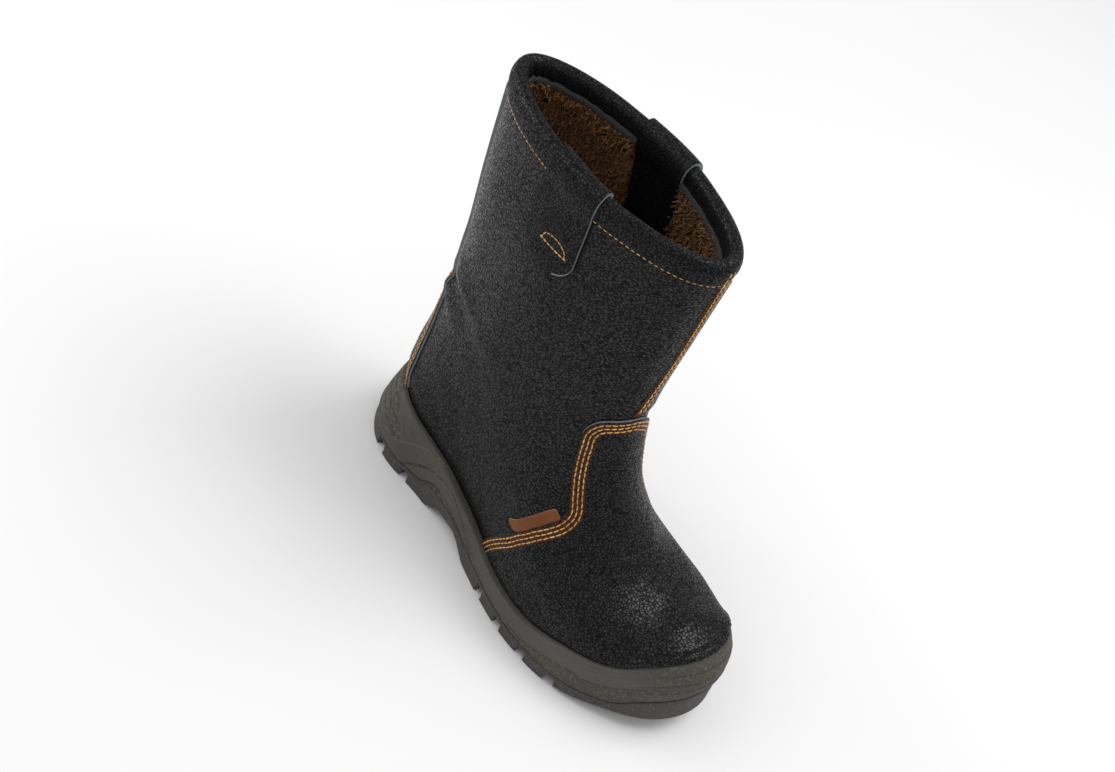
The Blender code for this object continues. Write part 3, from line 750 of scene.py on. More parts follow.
def make_moulded_grain():
    """Group for moulded foam and rubber: fine sandy grain with specks, and slow changes of tone."""
    tree, given, result = new_group(
        "moulded_grain", "ShaderNodeTree",
        (("Grains per metre", "NodeSocketFloat", 1300.0),),
        (("Height", "NodeSocketFloat"), ("Speck", "NodeSocketFloat"), ("Tone", "NodeSocketFloat")),
    )
    place = object_place(tree)
    size = given["Grains per metre"]
    grains = add_node(
        tree, "ShaderNodeTexVoronoi", {"Vector": place, "Scale": size}, feature="SMOOTH_F1",
    ).outputs["Distance"]
    sand = noise(tree, place, maths(tree, "MULTIPLY", size, 0.8), 3.0, 0.6)
    tree.links.new(maths(tree, "MULTIPLY_ADD", grains, -0.7, sand), result["Height"])
    tree.links.new(spread(tree, sand, 0.52, 0.68, 0.0, 1.0), result["Speck"])
    tree.links.new(noise(tree, place, 16.0, 4.0, 0.6), result["Tone"])
    return tree


def new_finish(name):
    """Empty material with its Principled shader, and the node tree."""
    material = bpy.data.materials.new(name)
    material.use_nodes = True
    return material, material.node_tree, material.node_tree.nodes["Principled BSDF"]


def use_group(tree, group, **values):
    """Outputs of a node group placed in a material with its own values."""
    node = add_node(tree, "ShaderNodeGroup", node_tree=group)
    for name, value in values.items():
        node.inputs[name.replace("_", " ")].default_value = value
    return node.outputs


def add_bump(tree, shader, height, strength, depth):
    """Bump from a height, with its depth in metres."""
    inputs = {"Height": height, "Strength": strength, "Distance": depth}
    bump = add_node(tree, "ShaderNodeBump", inputs)
    tree.links.new(bump.outputs["Normal"], shader.inputs["Normal"])


def make_leather(name, group, pebbles, squeeze, depth, shine, gloss):
    """Black grained leather: shiny pebbles, painted shade in the dull valleys and around the pull tabs, and
    an orange tint along the stitches.
    """
    material, tree, shader = new_finish(name)
    grain = use_group(tree, group, Pebbles_per_metre=pebbles, Squeeze=squeeze, Waviness=0.8)
    seam_tint = maths(tree, "MULTIPLY", read_attribute(tree, "seam_tint"), SEAM_TINT_SHARE)
    # Painted shade: dark, less glossy valleys between the pebbles, and the painted shadow kept in the shade
    # attribute
    dark = maths(tree, "MAXIMUM", grain["Valley"], read_attribute(tree, "shade"))
    pebble = blend(tree, grain["Tone"], LEATHER_DARK, LEATHER_LIGHT)
    black = blend(tree, dark, pebble, VALLEY_SHADE_BLACK)
    tree.links.new(blend(tree, seam_tint, black, SEAM_ORANGE), shader.inputs["Base Color"])
    dull = spread(tree, grain["Tone"], 0.3, 0.7, shine, shine + 0.10)
    roughness = maths(tree, "MULTIPLY_ADD", grain["Valley"], 0.25, dull)
    tree.links.new(roughness, shader.inputs["Roughness"])
    tree.links.new(spread(tree, dark, 0.0, 1.0, gloss, 0.0), shader.inputs["Coat Weight"])
    shader.inputs["Coat Roughness"].default_value = shine
    shader.inputs["Specular IOR Level"].default_value = 0.08
    add_bump(tree, shader, grain["Height"], 1.0, depth)
    return material


def make_raw_edge():
    """Cut edge of the leather: pale blue-grey fibres."""
    material, tree, shader = new_finish("raw_edge")
    fibres = noise(tree, object_place(tree), 900.0, 3.0, 0.7)
    tree.links.new(blend(tree, fibres, CUT_DARK, CUT_LIGHT), shader.inputs["Base Color"])
    shader.inputs["Roughness"].default_value = 0.85
    add_bump(tree, shader, fibres, 0.5, 0.0003)
    return material


def make_moulded(name, group, dark, light, grains, depth):
    """Moulded sole: sandy grain, smooth where the piece says so, with painted shade in its grooves."""
    material, tree, shader = new_finish(name)
    grain = use_group(tree, group, Grains_per_metre=grains)
    polish = read_attribute(tree, "polish")
    # Painted shade from the groove attribute
    groove = maths(tree, "MULTIPLY", read_attribute(tree, "groove"), GROOVE_SHADE_SHARE)
    base = blend(tree, contrast(tree, grain["Tone"]), dark, light)
    base = blend(tree, read_attribute(tree, "rubber"), base, PATCH_BLACK)
    base = blend(tree, groove, base, GROOVE_SHADE_BLACK)
    rough = maths(tree, "SUBTRACT", 0.80, maths(tree, "MULTIPLY", polish, 0.7))
    specks = maths(tree, "MULTIPLY", grain["Speck"], rough)
    bright = tuple(SPECK_BRIGHTNESS * part for part in light)
    tree.links.new(blend(tree, specks, base, bright), shader.inputs["Base Color"])
    tree.links.new(spread(tree, polish, 0.0, 1.0, 0.78, 0.52), shader.inputs["Roughness"])
    height = maths(tree, "MULTIPLY", grain["Height"], spread(tree, polish, 0.0, 1.0, 1.0, 0.18))
    add_bump(tree, shader, height, 0.7, depth)
    return material


def make_thread():
    """Waxed orange thread, with painted shade where its strands lie deep."""
    material, tree, shader = new_finish("orange_thread")
    place = object_place(tree)
    strands = noise(tree, place, 1500.0, 2.0, 0.6)
    orange = blend(tree, contrast(tree, noise(tree, place, 120.0)), THREAD_DARK, THREAD_LIGHT)
    # Painted shade in the low places of the strands' bump
    deep = spread(tree, strands, 0.35, 0.65, 0.5, 0.0)
    tree.links.new(blend(tree, deep, orange, THREAD_CREVICE_SHADE), shader.inputs["Base Color"])
    shader.inputs["Roughness"].default_value = 0.34
    add_bump(tree, shader, strands, 0.5, 0.0002)
    return material


def make_fur():
    """Brown pile: rusty, with painted shade darkening each lock towards its root, each lock in a tone of
    its own.
    """
    material, tree, shader = new_finish("brown_fur")
    place = object_place(tree)
    patch = spread(tree, noise(tree, place, 60.0, 3.0, 0.6), 0.35, 0.65, 0.0, 0.6)
    rust = blend(tree, read_attribute(tree, "lock_tone"), FUR_DARK, FUR_LIGHT)
    rust = blend(tree, patch, rust, FUR_PATCH)
    # Painted shade: darker towards each lock's root
    tip = spread(tree, read_attribute(tree, "lock_tip"), 0.0, 0.8, 0.0, 1.0)
    tree.links.new(blend(tree, tip, FUR_ROOT_SHADE, rust), shader.inputs["Base Color"])
    shader.inputs["Roughness"].default_value = 0.8
    shader.inputs["Sheen Weight"].default_value = 0.35
    shader.inputs["Sheen Tint"].default_value = (0.9, 0.6, 0.35, 1)
    strands = noise(tree, place, 1100.0, 3.0, 0.7)
    add_bump(tree, shader, strands, 0.6, 0.0005)
    return material


def make_felt():
    """Dark grey felt along the top of the fur."""
    material, tree, shader = new_finish("grey_felt")
    fuzz = noise(tree, object_place(tree), 1000.0, 4.0, 0.7)
    tree.links.new(blend(tree, fuzz, FELT_DARK, FELT_LIGHT), shader.inputs["Base Color"])
    shader.inputs["Roughness"].default_value = 0.95
    add_bump(tree, shader, fuzz, 0.8, 0.0006)
    return material


def make_tan_leather(name, dark, light):
    """Smooth tan leather of the bare tag."""
    material, tree, shader = new_finish(name)
    place = object_place(tree)
    tone = noise(tree, place, 90.0, 4.0, 0.65)
    pores = noise(tree, place, 1600.0, 2.0)
    tree.links.new(blend(tree, contrast(tree, tone), dark, light), shader.inputs["Base Color"])
    tree.links.new(spread(tree, tone, 0.3, 0.7, 0.42, 0.56), shader.inputs["Roughness"])
    shader.inputs["Specular IOR Level"].default_value = 0.25
    add_bump(tree, shader, pores, 0.35, 0.0002)
    return material


pebbled_grain = make_pebbled_grain()
moulded_grain = make_moulded_grain()
shaft_leather = make_leather("shaft_leather", pebbled_grain, *SHAFT_GRAIN)
vamp_leather = make_leather("vamp_leather", pebbled_grain, *VAMP_GRAIN)
collar_leather = make_leather("collar_leather", pebbled_grain, *COLLAR_GRAIN)
raw_edge = make_raw_edge()
olive_foam = make_moulded("olive_foam", moulded_grain, FOAM_DARK, FOAM_LIGHT, 560, 0.00045)
dark_rubber = make_moulded("dark_rubber", moulded_grain, RUBBER_DARK, RUBBER_LIGHT, 900, 0.00034)
orange_thread = make_thread()
brown_fur = make_fur()
grey_felt = make_felt()
tan_leather = make_tan_leather("tan_leather", TAN_DARK, TAN_LIGHT)
tan_edge = make_tan_leather("tan_edge", TAN_CUT_DARK, TAN_CUT_LIGHT)


def tab_turn(side, across, up):
    """Turns across a pull tab, which leans back towards its lower end."""
    lean = np.radians(TAB_LEAN) * np.clip(-up / TAB_OUTER_LEG, 0, 1)
    return side * (np.radians(TAB_TURN) - lean + across * TAB_HALF_WIDTH / SHAFT_RADIUS)


def turn_from_tab(turn, up):
    """Turn between places on the shaft and the middle of the nearer pull tab."""
    middle = tab_turn(1, 0, up)
    return np.minimum(np.abs(turn - middle), np.abs(turn + middle - 2 * np.pi))


def tab_shade(ring, turn):
    """Shadow on the shaft close around each pull tab's outer leg."""
    up = (ring - SHAFT_TOP) * RING_HEIGHT
    apart = turn_from_tab(turn, up) * SHAFT_RADIUS
    share = np.clip(apart / TAB_HALF_WIDTH * TAB_CORNER, 0, 1)
    foot = TAB_OUTER_LEG - TAB_ROUND * (1 - np.sqrt(1 - share ** 2))
    outside = np.maximum(apart - TAB_HALF_WIDTH, -up - foot)
    return np.exp(-(np.maximum(outside, 0) / TAB_SHADE) ** 2)


def make_upper():
    """Leather shell: creased outer face up to the shaft's top, and a plainer inner face."""
    turn = even_turns(AROUND, RING["vamp"])
    outer = [upper_point(ring, turn) for ring in even_rings(UPPER_ROWS, 0, SHAFT_TOP)]
    inner = [upper_point(ring, turn, -LEATHER) for ring in even_rings(UPPER_ROWS // 4, 0, SHAFT_TOP)]
    piece = add_tube("boot_upper", outer + inner[::-1], shaft_leather)
    rows = np.concatenate([even_rings(UPPER_ROWS, 0, SHAFT_TOP), np.zeros(len(inner))])[:, None]
    # Painted shadow on the shaft around the pull tabs
    set_attribute(piece, "shade", tab_shade(rows, turn))
    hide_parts("upper")
    return piece


def vamp_edge(count):
    """Places along the vamp's cut edge, as rings, turns and turns of the foot of each column."""
    turns, rings, foot_turns = np.array(VAMP_EDGE, float).T
    corners = last_surface(rings, np.radians(turns))
    length = np.concatenate([[0], np.cumsum(np.linalg.norm(np.diff(corners, axis=0), axis=-1))])
    dense = np.linspace(0, length[-1], 3000)
    ring = curve(length, rings, dense)
    dense = dense[ring >= SEWN_FROM]
    at = np.linspace(dense[0], dense[-1], count)
    return tuple(curve(length, column, at) for column in (rings, turns, foot_turns))


def inward_from(ring, turn, towards_ring, towards_turn):
    """Directions in space that lie on the last and lead away from a cut edge, to a given side."""
    points = last_surface(ring, turn)
    along = unit(np.gradient(points, axis=0))
    inward = unit(np.cross(surface_normal(ring, turn), along))
    side = np.sum(inward * (last_surface(towards_ring, towards_turn) - points), axis=-1)
    return inward * np.sign(np.median(side))


def make_vamp():
    """Toe and instep leather, in rows that follow its cut edge and then run down to the sole."""
    ring, turn, foot_turn = vamp_edge(300)
    turn, foot_turn = np.radians(turn), np.radians(foot_turn)
    inward = inward_from(ring, turn, 3.0 + 0 * ring, 0 * turn)
    foot_ring = np.full(ring.shape, SEWN_FROM)
    reach = np.linalg.norm(last_surface(ring, turn) - last_surface(foot_ring, foot_turn), axis=-1)
    room = np.clip(reach / 30, 0.02, 1)
    rings, turns, distance = [], [], []
    for step in EDGE_STEPS:
        row_ring, row_turn = walk(ring, turn, inward, step * room)
        rings.append(np.maximum(row_ring, SEWN_FROM))
        turns.append(row_turn)
        distance.append(step * room)
    for share in np.linspace(0, 1, 100)[1:]:
        rings.append(rings[len(EDGE_STEPS) - 1] * (1 - share) + foot_ring * share)
        turns.append(turns[len(EDGE_STEPS) - 1] * (1 - share) + foot_turn * share)
        distance.append(np.full(ring.shape, EDGE_STEPS[-1]) + share * reach)
    rings, turns, distance = np.array(rings), np.array(turns), np.array(distance)
    outer = upper_point(rings, turns, GAP + OVERLAY + seam_relief(distance, VAMP_ROWS))
    piece = add_sheet("boot_vamp", upper_point(rings, turns, 0.1), outer, vamp_leather, raw_edge)
    set_seam_tint(piece, np.min([np.abs(distance - row) for row in VAMP_ROWS], axis=0))
    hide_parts("vamp")
    return piece


def strip_grid(ring, left_turn, right_turn):
    """Columns across a strip, close together by its two cut edges, and each column's distance from them."""
    speed = np.linalg.norm(surface_axes(ring, (left_turn + right_turn) / 2)[0], axis=-1)
    width = np.abs(right_turn - left_turn) * speed
    steps = np.array([step for step in EDGE_STEPS if step < 8])
    share = np.minimum(steps[None, :] / width[:, None], 0.48)
    middle = np.linspace(share[:, -1], 1 - share[:, -1], 10, axis=-1)[:, 1:-1]
    across = np.concatenate([share, middle, 1 - share[:, ::-1]], axis=1)
    turn = left_turn[:, None] + (right_turn - left_turn)[:, None] * across
    return turn, across * width[:, None], (1 - across) * width[:, None]


def make_back_strip():
    """Strip over the heel seam, wide above the sole and narrow at the collar."""
    rings, halves = zip(*BACK_STRIP_EDGE)
    ring = even_rings(170, SEWN_FROM, SEWN_TO)
    half = np.radians(curve(rings, halves, ring))
    turn, left, right = strip_grid(ring, np.pi - half, np.pi + half)
    ring = ring[:, None] + 0 * turn
    distance = np.minimum(left, right)
    outer = upper_point(ring, turn, GAP + OVERLAY + seam_relief(distance, STRIP_ROWS))
    piece = add_sheet("boot_back_strip", upper_point(ring, turn, 0.1), outer, shaft_leather, raw_edge)
    set_seam_tint(piece, np.min([np.abs(distance - row) for row in STRIP_ROWS], axis=0))
    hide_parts("back_strip")
    return piece


def front_rows(ring):
    """Turns of the two stitch rows of the shin seam."""
    rings, turns = zip(*FRONT_ROW_TURN)
    left = np.radians(curve(rings, turns, ring))
    speed = np.linalg.norm(surface_axes(ring, left)[0], axis=-1)
    return left, left + FRONT_ROW_GAP / speed


def row_distance(ring, turn, row):
    """Millimetres around the last from places to a stitch row on the same rings."""
    return np.abs(turn - row) * np.linalg.norm(surface_axes(ring, turn)[0], axis=-1)


def make_front_strip():
    """Overlapped seam down the shin: a cut edge on the inner side, run out to nothing on the outer."""
    rings, outer_turns, inner_turns = zip(*FRONT_STRIP_EDGE)
    ring = np.linspace(rings[0], SEWN_TO, 120)
    outer_turn = np.radians(curve(rings, outer_turns, ring))
    inner_turn = np.radians(curve(rings, inner_turns, ring))
    turn, left, right = strip_grid(ring, outer_turn, inner_turn)
    cut = FRONT_STRIP_CUT * (SEWN_TO - ring) / (SEWN_TO - ring[0])
    ring = ring[:, None] + cut[:, None] * left / (left + right)
    apart = np.min([row_distance(ring, turn, row) for row in front_rows(ring)], axis=0)
    pulled = SEAM_PULL * np.exp(-(apart / SEAM_PULL_WIDTH) ** 2)
    thick = GAP + OVERLAY - FRONT_STRIP_THIN + seam_relief(right, ()) - pulled
    outer = upper_point(ring, turn, FRONT_STRIP_THIN + thick * ease(0, FRONT_STRIP_FADE, left))
    piece = add_sheet("boot_front_strip", upper_point(ring, turn, 0.05), outer, shaft_leather, raw_edge)
    set_seam_tint(piece, apart)
    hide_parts("front_strip")
    return piece


def make_side_label():
    """Bare tag in the vamp seam: slightly cushioned, with round corners."""
    along = np.linspace(-1, 1, 61)
    up = np.linspace(-1, 1, 21)[:, None]
    stations = np.arange(len(LABEL_EDGE))
    at = (along + 1) / 2 * stations[-1]
    bows = (np.polyfit(stations, column, 2) for column in zip(*LABEL_EDGE))
    low_turn, low_ring, high_turn, high_ring = (np.polyval(bow, at) for bow in bows)
    corner = 1 - 0.36 * np.clip((np.abs(along) - 0.93) / 0.07, 0, 1) ** 2
    share = (1 + up * corner) / 2
    ring = low_ring - LABEL_TUCK + (high_ring - low_ring + LABEL_TUCK) * share
    turn = np.radians(low_turn + (high_turn - low_turn) * share)
    edge = np.maximum(np.abs(along) ** 14, np.abs(up) ** 6)
    outer = upper_point(ring, turn, GAP + OVERLAY * (1 - 0.4 * edge))
    piece = add_sheet("boot_side_label", upper_point(ring, turn, 0.1), outer, tan_leather, tan_edge)
    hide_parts("side_label")
    return piece


def offset_path(path, distance):
    """Path moved sideways, to the right of its direction."""
    steps = unit(np.gradient(path, axis=0))
    return path + np.stack([steps[:, 1], -steps[:, 0]], axis=1) * np.reshape(distance, (-1, 1))


def tab_path():
    """Way of a pull tab, as (out, up): up the shaft, over the collar and down inside."""
    leg = [(0, -TAB_OUTER_LEG * part) for part in TAB_OUTER_ROWS]
    facing_out, _ = COLLAR_SECTION[FACING_FOOT]
    inside = [(facing_out, -TAB_INNER_LEG * part) for part in TAB_INNER_ROWS]
    return smooth_path([*leg, *COLLAR_SECTION[:FACING_FOOT + 1], *inside], 130)


def make_pull_tab(name, node, side):
    """Strap folded over the collar, with rounded lower corners and cut edges."""
    path = tab_path()
    top = np.argmax(path[:, 1])
    inset = np.array([step for step in EDGE_STEPS if step < 4]) / TAB_HALF_WIDTH
    middle = np.linspace(inset[-1] - 1, 1 - inset[-1], 14)[1:-1]
    across = np.concatenate([inset - 1, middle, 1 - inset[::-1]])
    rounding = TAB_ROUND * (1 - np.sqrt(1 - (across * TAB_CORNER) ** 2)) / TAB_OUTER_LEG
    edge = (1 - np.abs(across)) * TAB_HALF_WIDTH
    faces = []
    for distance in (0.1 + 0 * edge, GAP + TAB + seam_relief(edge, ())):
        columns = []
        for k, column in enumerate(across):
            moved = offset_path(path, np.full(len(path), distance[k]))
            on_leg = (np.arange(len(path)) < top) & (moved[:, 1] < 0)
            up = np.where(on_leg, moved[:, 1] * (1 - rounding[k]), moved[:, 1])
            columns.append(collar_point(tab_turn(side, column, up), moved[:, 0], up))
        faces.append(np.stack(columns, axis=1))
    piece = add_sheet(name, faces[0], faces[1], collar_leather, raw_edge)
    outer_faces = (len(path) - 1) * (len(across) - 1)
    for k in np.flatnonzero(across < -TAB_EDGE_SHOWN):
        piece.data.polygons[outer_faces + int(k)].material_index = 1
    # Painted shade along the rear edge of the tab's outer face
    shade = np.zeros((2, len(path), len(across)))
    shade[1] = np.where(across > 0, TAB_REAR_SHADE * np.exp(-(edge / TAB_REAR_WIDTH) ** 2), 0)
    set_attribute(piece, "shade", shade)
    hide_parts(node)
    return piece


def collar_relief(turn, section):
    """Gathers of the padded roll: folds inside at the back, small puckers under the roll at the front."""
    behind = np.exp(-((turn - np.pi) / BACK_SPAN) ** 2)
    folds = np.sin(turn * 34 + 1.7 * np.sin(turn * 9)) + 0.6 * np.sin(turn * 21 + 2.0)
    inside = np.exp(-((section - FOLD_PLACE) / FOLD_SPAN) ** 2)
    outside = np.exp(-((section - PUCKER_PLACE) / PUCKER_SPAN) ** 2)
    puckers = np.sin(turn * 95 + 2.0 * np.sin(turn * 13))
    return (0.25 + 0.75 * behind) * folds * FOLD_HEIGHT * inside + PUCKER_HEIGHT * puckers * outside


def make_collar():
    """Padded roll on the shaft's edge, with its facing down the inside."""
    turn = even_turns(360, SHAFT_TOP)
    section = smooth_path(COLLAR_SECTION, 60, closed=True)
    ahead, behind = np.roll(section, -1, axis=0), np.roll(section, 1, axis=0)
    steps = unit(ahead - behind)
    outward = np.stack([-steps[:, 1], steps[:, 0]], axis=-1)
    if np.sum(outward * (section - section.mean(axis=0))) < 0:
        outward = -outward
    loops = []
    for k, (out, up) in enumerate(section):
        relief = collar_relief(turn, k / len(section))
        loops.append(collar_point(turn, out + outward[k, 0] * relief, up + outward[k, 1] * relief))
    piece = add_tube("boot_collar", loops, collar_leather)
    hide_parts("collar")
    return piece


def wall_profile(column, height, span=0.012):
    """How far the midsole's side stands out at a height up to its rim, evened out over a span."""
    table = {row: dict(zip(WALL_COLUMNS, sizes)) for row, sizes in MIDSOLE_WALL.items()}
    heights = np.array([size["height"] for size in table.values()])[::-1]
    outs = np.array([size[column] for size in table.values()])[::-1]
    reach = min(span, 1 - height, height) if span > 0.05 else span
    places = height + np.linspace(-reach, reach, 7)
    return np.mean(np.interp(places, heights, outs))


def band_share(x, height, depth, top, foot):
    """1 between two lines along the sole's side and 0 outside them, with short slopes."""
    below_top = (line(top, x) - height) * depth
    above_foot = (height - line(foot, x)) * depth
    return ease(-BAND_SLOPE, BAND_SLOPE, below_top) * ease(-BAND_SLOPE, BAND_SLOPE, above_foot)


def shield_share(x, height):
    """1 on the smooth panel between the heel's ribs and its lip."""
    (back, _), (middle, low), (front, high) = SHIELD
    behind = low + (high - low) * (middle - x) / (middle - back)
    ahead = low + (high - low) * (x - middle) / (front - middle)
    return ease(0.0, 0.05, height - np.maximum(behind, ahead))


def sole_relief(x, height, depth):
    """Panel, dashes and bands in the midsole's side: relief and smooth shares, the dark sunken patch, and
    painted shadow under the bands' feet.
    """
    shield = shield_share(x, height)
    upper = band_share(x, height, depth, UPPER_BAND_TOP, UPPER_BAND_FOOT)
    lower = band_share(x, height, depth, LOWER_BAND_TOP, LOWER_BAND_FOOT)
    under = ease(-BAND_SLOPE, BAND_SLOPE, (line(LOWER_BAND_FOOT, x) - height) * depth)
    relief = SHIELD_PROUD * shield + BAND_PROUD * upper + 0.5 * BAND_PROUD * lower - PATCH_CUT * under
    for dash in DASHES:
        across, up = np.array(dash).T
        start, end = np.stack([across, up * (line(RIM_LINE, across) - line(PARTING_LINE, across))], axis=-1)
        way = start + np.linspace(0, 1, 30)[:, None] * (end - start)
        distance = path_distance(x, height * depth, way)
        relief = relief - DASH_CUT * np.exp(-(distance / DASH_WIDTH) ** 2)
    # Painted shadow just under the feet of the two bands
    feet = [(line(way, x) - height) * depth for way in (UPPER_BAND_FOOT, LOWER_BAND_FOOT)]
    foot = np.max([np.exp(-((away - FOOT_SHADOW) / FOOT_SHADOW) ** 2) for away in feet], axis=0)
    return relief, np.maximum(np.maximum(shield, upper), lower), under, foot


def make_midsole():
    """Moulded tray with its lip, ribbed heel and toe, smooth panels and curved bands."""
    turn = even_turns(SOLE_AROUND, RING["rim"])
    rim = last_surface(RING["rim"], turn)
    floor = last_surface(0, turn) + surface_normal(0 * turn, turn) * GAP
    floor[:, 2] = line(BED_LINE, floor[:, 0]) - GAP
    loops = [floor]
    for ring in (0.5, RING["rim"]):
        loops.append(last_surface(ring, turn) + surface_normal(ring + 0 * turn, turn) * TRAY_GAP)
    polish, rubber, groove = ([np.zeros(3 * len(turn))] for _ in range(3))
    heel = 1 - ease(*HEEL_ZONE, rim[:, 0])
    toe = ease(*TOE_ZONE, rim[:, 0])
    length = np.linalg.norm(rim[:, :2] - np.roll(rim[:, :2], 1, axis=0), axis=-1)
    run = np.cumsum(length)
    from_back = np.abs(run - run[np.argmin(rim[:, 0])])
    from_front = np.minimum(run, run[-1] - run)
    mould = MOULD_LINE_CUT * np.exp(-(np.minimum(from_back, from_front) / MOULD_LINE_WIDTH) ** 2)
    depth = rim[:, 2] - line(PARTING_LINE, rim[:, 0])
    for height in np.linspace(1, 0, SOLE_ROWS):
        relief, smooth, under, foot = sole_relief(rim[:, 0], np.full(len(turn), height), depth)
        side, plain_heel, plain_toe = (
            wall_profile(column, height, PLAIN_SPAN) for column in ("side", "heel", "toe")
        )
        ribbed_heel, at_toe = wall_profile("heel", height), wall_profile("toe", height)
        at_heel = ribbed_heel * (1 - smooth) + plain_heel * smooth
        out = side + (at_heel - side) * heel + (at_toe - side) * toe
        shoulder = ease(0.0, 0.06, height) * (1 - ease(0.95, 1.0, height))
        row = sole_outline(turn, out + (relief * (1 - toe) - mould) * shoulder)
        low = line(PARTING_LINE, row[:, 0]) + GAP
        row[:, 2] = low + (rim[:, 2] - low) * height
        loops.append(row)
        # Painted shade in the grooves of the ribbed heel and toe and under the bands' feet
        under_plain = (plain_heel - ribbed_heel) * heel + (plain_toe - at_toe) * toe
        sunk = np.clip(under_plain / GROOVE_DEPTH, 0, 1)
        groove.append(np.maximum(sunk * (1 - smooth * (1 - toe)), foot * (1 - toe)) * shoulder)
        polish.append(smooth * (1 - toe))
        rubber.append(under)
    piece = add_block("boot_midsole", loops, olive_foam)
    for name, shares in (("polish", polish), ("rubber", rubber), ("groove", groove)):
        set_attribute(piece, name, np.concatenate(shares))
    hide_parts("midsole")
    return piece


def notch_share(x):
    """1 inside a notch between lugs and 0 on a lug, with sloping sides."""
    nearest = np.min(np.abs(np.asarray(NOTCH_STATIONS, float)[:, None] - x), axis=0)
    return 1 - ease(NOTCH / 2, NOTCH / 2 + NOTCH_SLOPE, nearest)


def outsole_turns():
    """Turns of the outsole's columns, closer at each notch and alike on both sides."""
    rim = dict(zip(SECTION_COLUMNS, SECTIONS["rim"]))
    stations = []
    for x in NOTCH_STATIONS:
        for part in (-0.3, 0.0, 0.3, 0.7, 1.0, 1.3):
            reach = NOTCH / 2 + NOTCH_SLOPE * part
            stations += [x - reach, x + reach]
    chord = rim["front_x"] - rim["back_x"]
    notches = np.arccos(2 * (np.array(stations) - rim["back_x"]) / chord - 1)
    even = even_turns(SOLE_AROUND // 2, RING["rim"])
    even = [turn for turn in even if 0 < turn < np.pi and np.min(np.abs(notches - turn)) > 0.006]
    half = np.array(sorted([0.0, np.pi, *even, *notches]))
    return np.concatenate([half, 2 * np.pi - half[-2:0:-1]])


def make_outsole():
    """Cleated sheet: lugs with notches around the edge, a groove inside them, and one flat pad in the
    middle.
    """
    turn = outsole_turns()
    rim = last_surface(RING["rim"], turn)
    notch = notch_share(rim[:, 0])
    heel = 1 - ease(*HEEL_ZONE, rim[:, 0])
    toe = ease(*TOE_ZONE, rim[:, 0])
    side, at_heel, at_toe = (wall_profile(column, 0.0) for column in ("side", "heel", "toe"))
    edge_out = side + (at_heel - side) * heel + (at_toe - side) * toe
    top = sole_outline(turn, edge_out - 0.4)
    top[:, 2] = line(PARTING_LINE, top[:, 0])
    lug_out = LUG_PROUD + TOE_FLARE * toe - notch * NOTCH_INSET
    loops = [top]
    for out, down in ((LUG_PROUD * 0.4, 0.05), (LUG_PROUD, LUG_SHOULDER), (LUG_PROUD, LUG_SHOULDER + 0.8)):
        row = sole_outline(turn, edge_out + out)
        row[:, 2] = line(PARTING_LINE, row[:, 0]) - down
        loops.append(row)
    groove_end = -LUG_LENGTH - LUG_GROOVE
    for out, lift in (
        (lug_out, 1.0), (lug_out - 0.3, 0.3), (lug_out - LUG_CHAMFER * 2, 0.0),
        (-LUG_LENGTH + 0.6, 0.0), (-LUG_LENGTH, 0.5),
        (-LUG_LENGTH - GROOVE_SLOPE, LUG_DEPTH), (groove_end, LUG_DEPTH),
        (groove_end - GROOVE_SLOPE, 0.5), (groove_end - GROOVE_SLOPE - 0.6, 0.0),
    ):
        row = sole_outline(turn, edge_out + out)
        ground = bottom_height(row[:, 0]) + np.maximum(lift, notch * LUG_DEPTH)
        row[:, 2] = np.minimum(ground, line(PARTING_LINE, row[:, 0]) - LUG_CLEAR)
        loops.append(row)
    piece = add_block("boot_outsole", loops, dark_rubber)
    set_attribute(piece, "polish", np.zeros(len(piece.data.vertices)))
    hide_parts("outsole")
    return piece


def set_pile(piece, tip):
    """Share of the tips' colour against the painted root shade, and one tone, all over a piece of pile."""
    set_attribute(piece, "lock_tip", np.full(len(piece.data.vertices), tip))
    set_attribute(piece, "lock_tone", np.full(len(piece.data.vertices), 0.3))


def make_insole():
    """Bed inside the foot, covered with the same pile."""
    turn = even_turns(200, RING["rim"])
    loops = []
    rows = ((GAP, 0), (INSOLE - INSOLE_BEVEL, 0), (INSOLE - 0.3, 0.3), (INSOLE, INSOLE_BEVEL))
    for up, inward in rows:
        edge = upper_point(RING["tuck"], turn, -LEATHER - 2 * GAP - inward)
        edge[:, 2] = line(BED_LINE, edge[:, 0]) + up
        loops.append(edge)
    piece = add_block("boot_insole", loops, brown_fur)
    set_pile(piece, 0.5)
    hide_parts("insole")
    return piece


def fur_bumps(ring, turn):
    """Clumps of the pile, as heights over the lining's face."""
    large = np.sin(turn * 31 + 3 * np.sin(ring * 5)) * np.sin(ring * 34 + 2 * np.sin(turn * 9))
    small = np.sin(turn * 57 + ring * 23) * np.sin(ring * 61 - turn * 17)
    return 0.7 * large + 0.5 * small


def under_tab(turn, up):
    """1 where a pull tab's inner leg covers the lining."""
    half = TAB_HALF_WIDTH / SHAFT_RADIUS
    return 1 - ease(half - 0.015, half + 0.005, turn_from_tab(turn, up))


def fur_row(turn, up, lift):
    """One row of the lining's face, sunk where a pull tab lies over it."""
    shown, sunk = (np.interp(up, *zip(*way)) for way in (FUR_FACE, FUR_UNDER_TAB))
    ring = SHAFT_TOP + min(up, 0) / RING_HEIGHT
    out = shown + (sunk - shown) * under_tab(turn, up)
    return collar_point(turn, out - lift + 0.6 * fur_bumps(ring + max(up, 0) / RING_HEIGHT, turn), up)


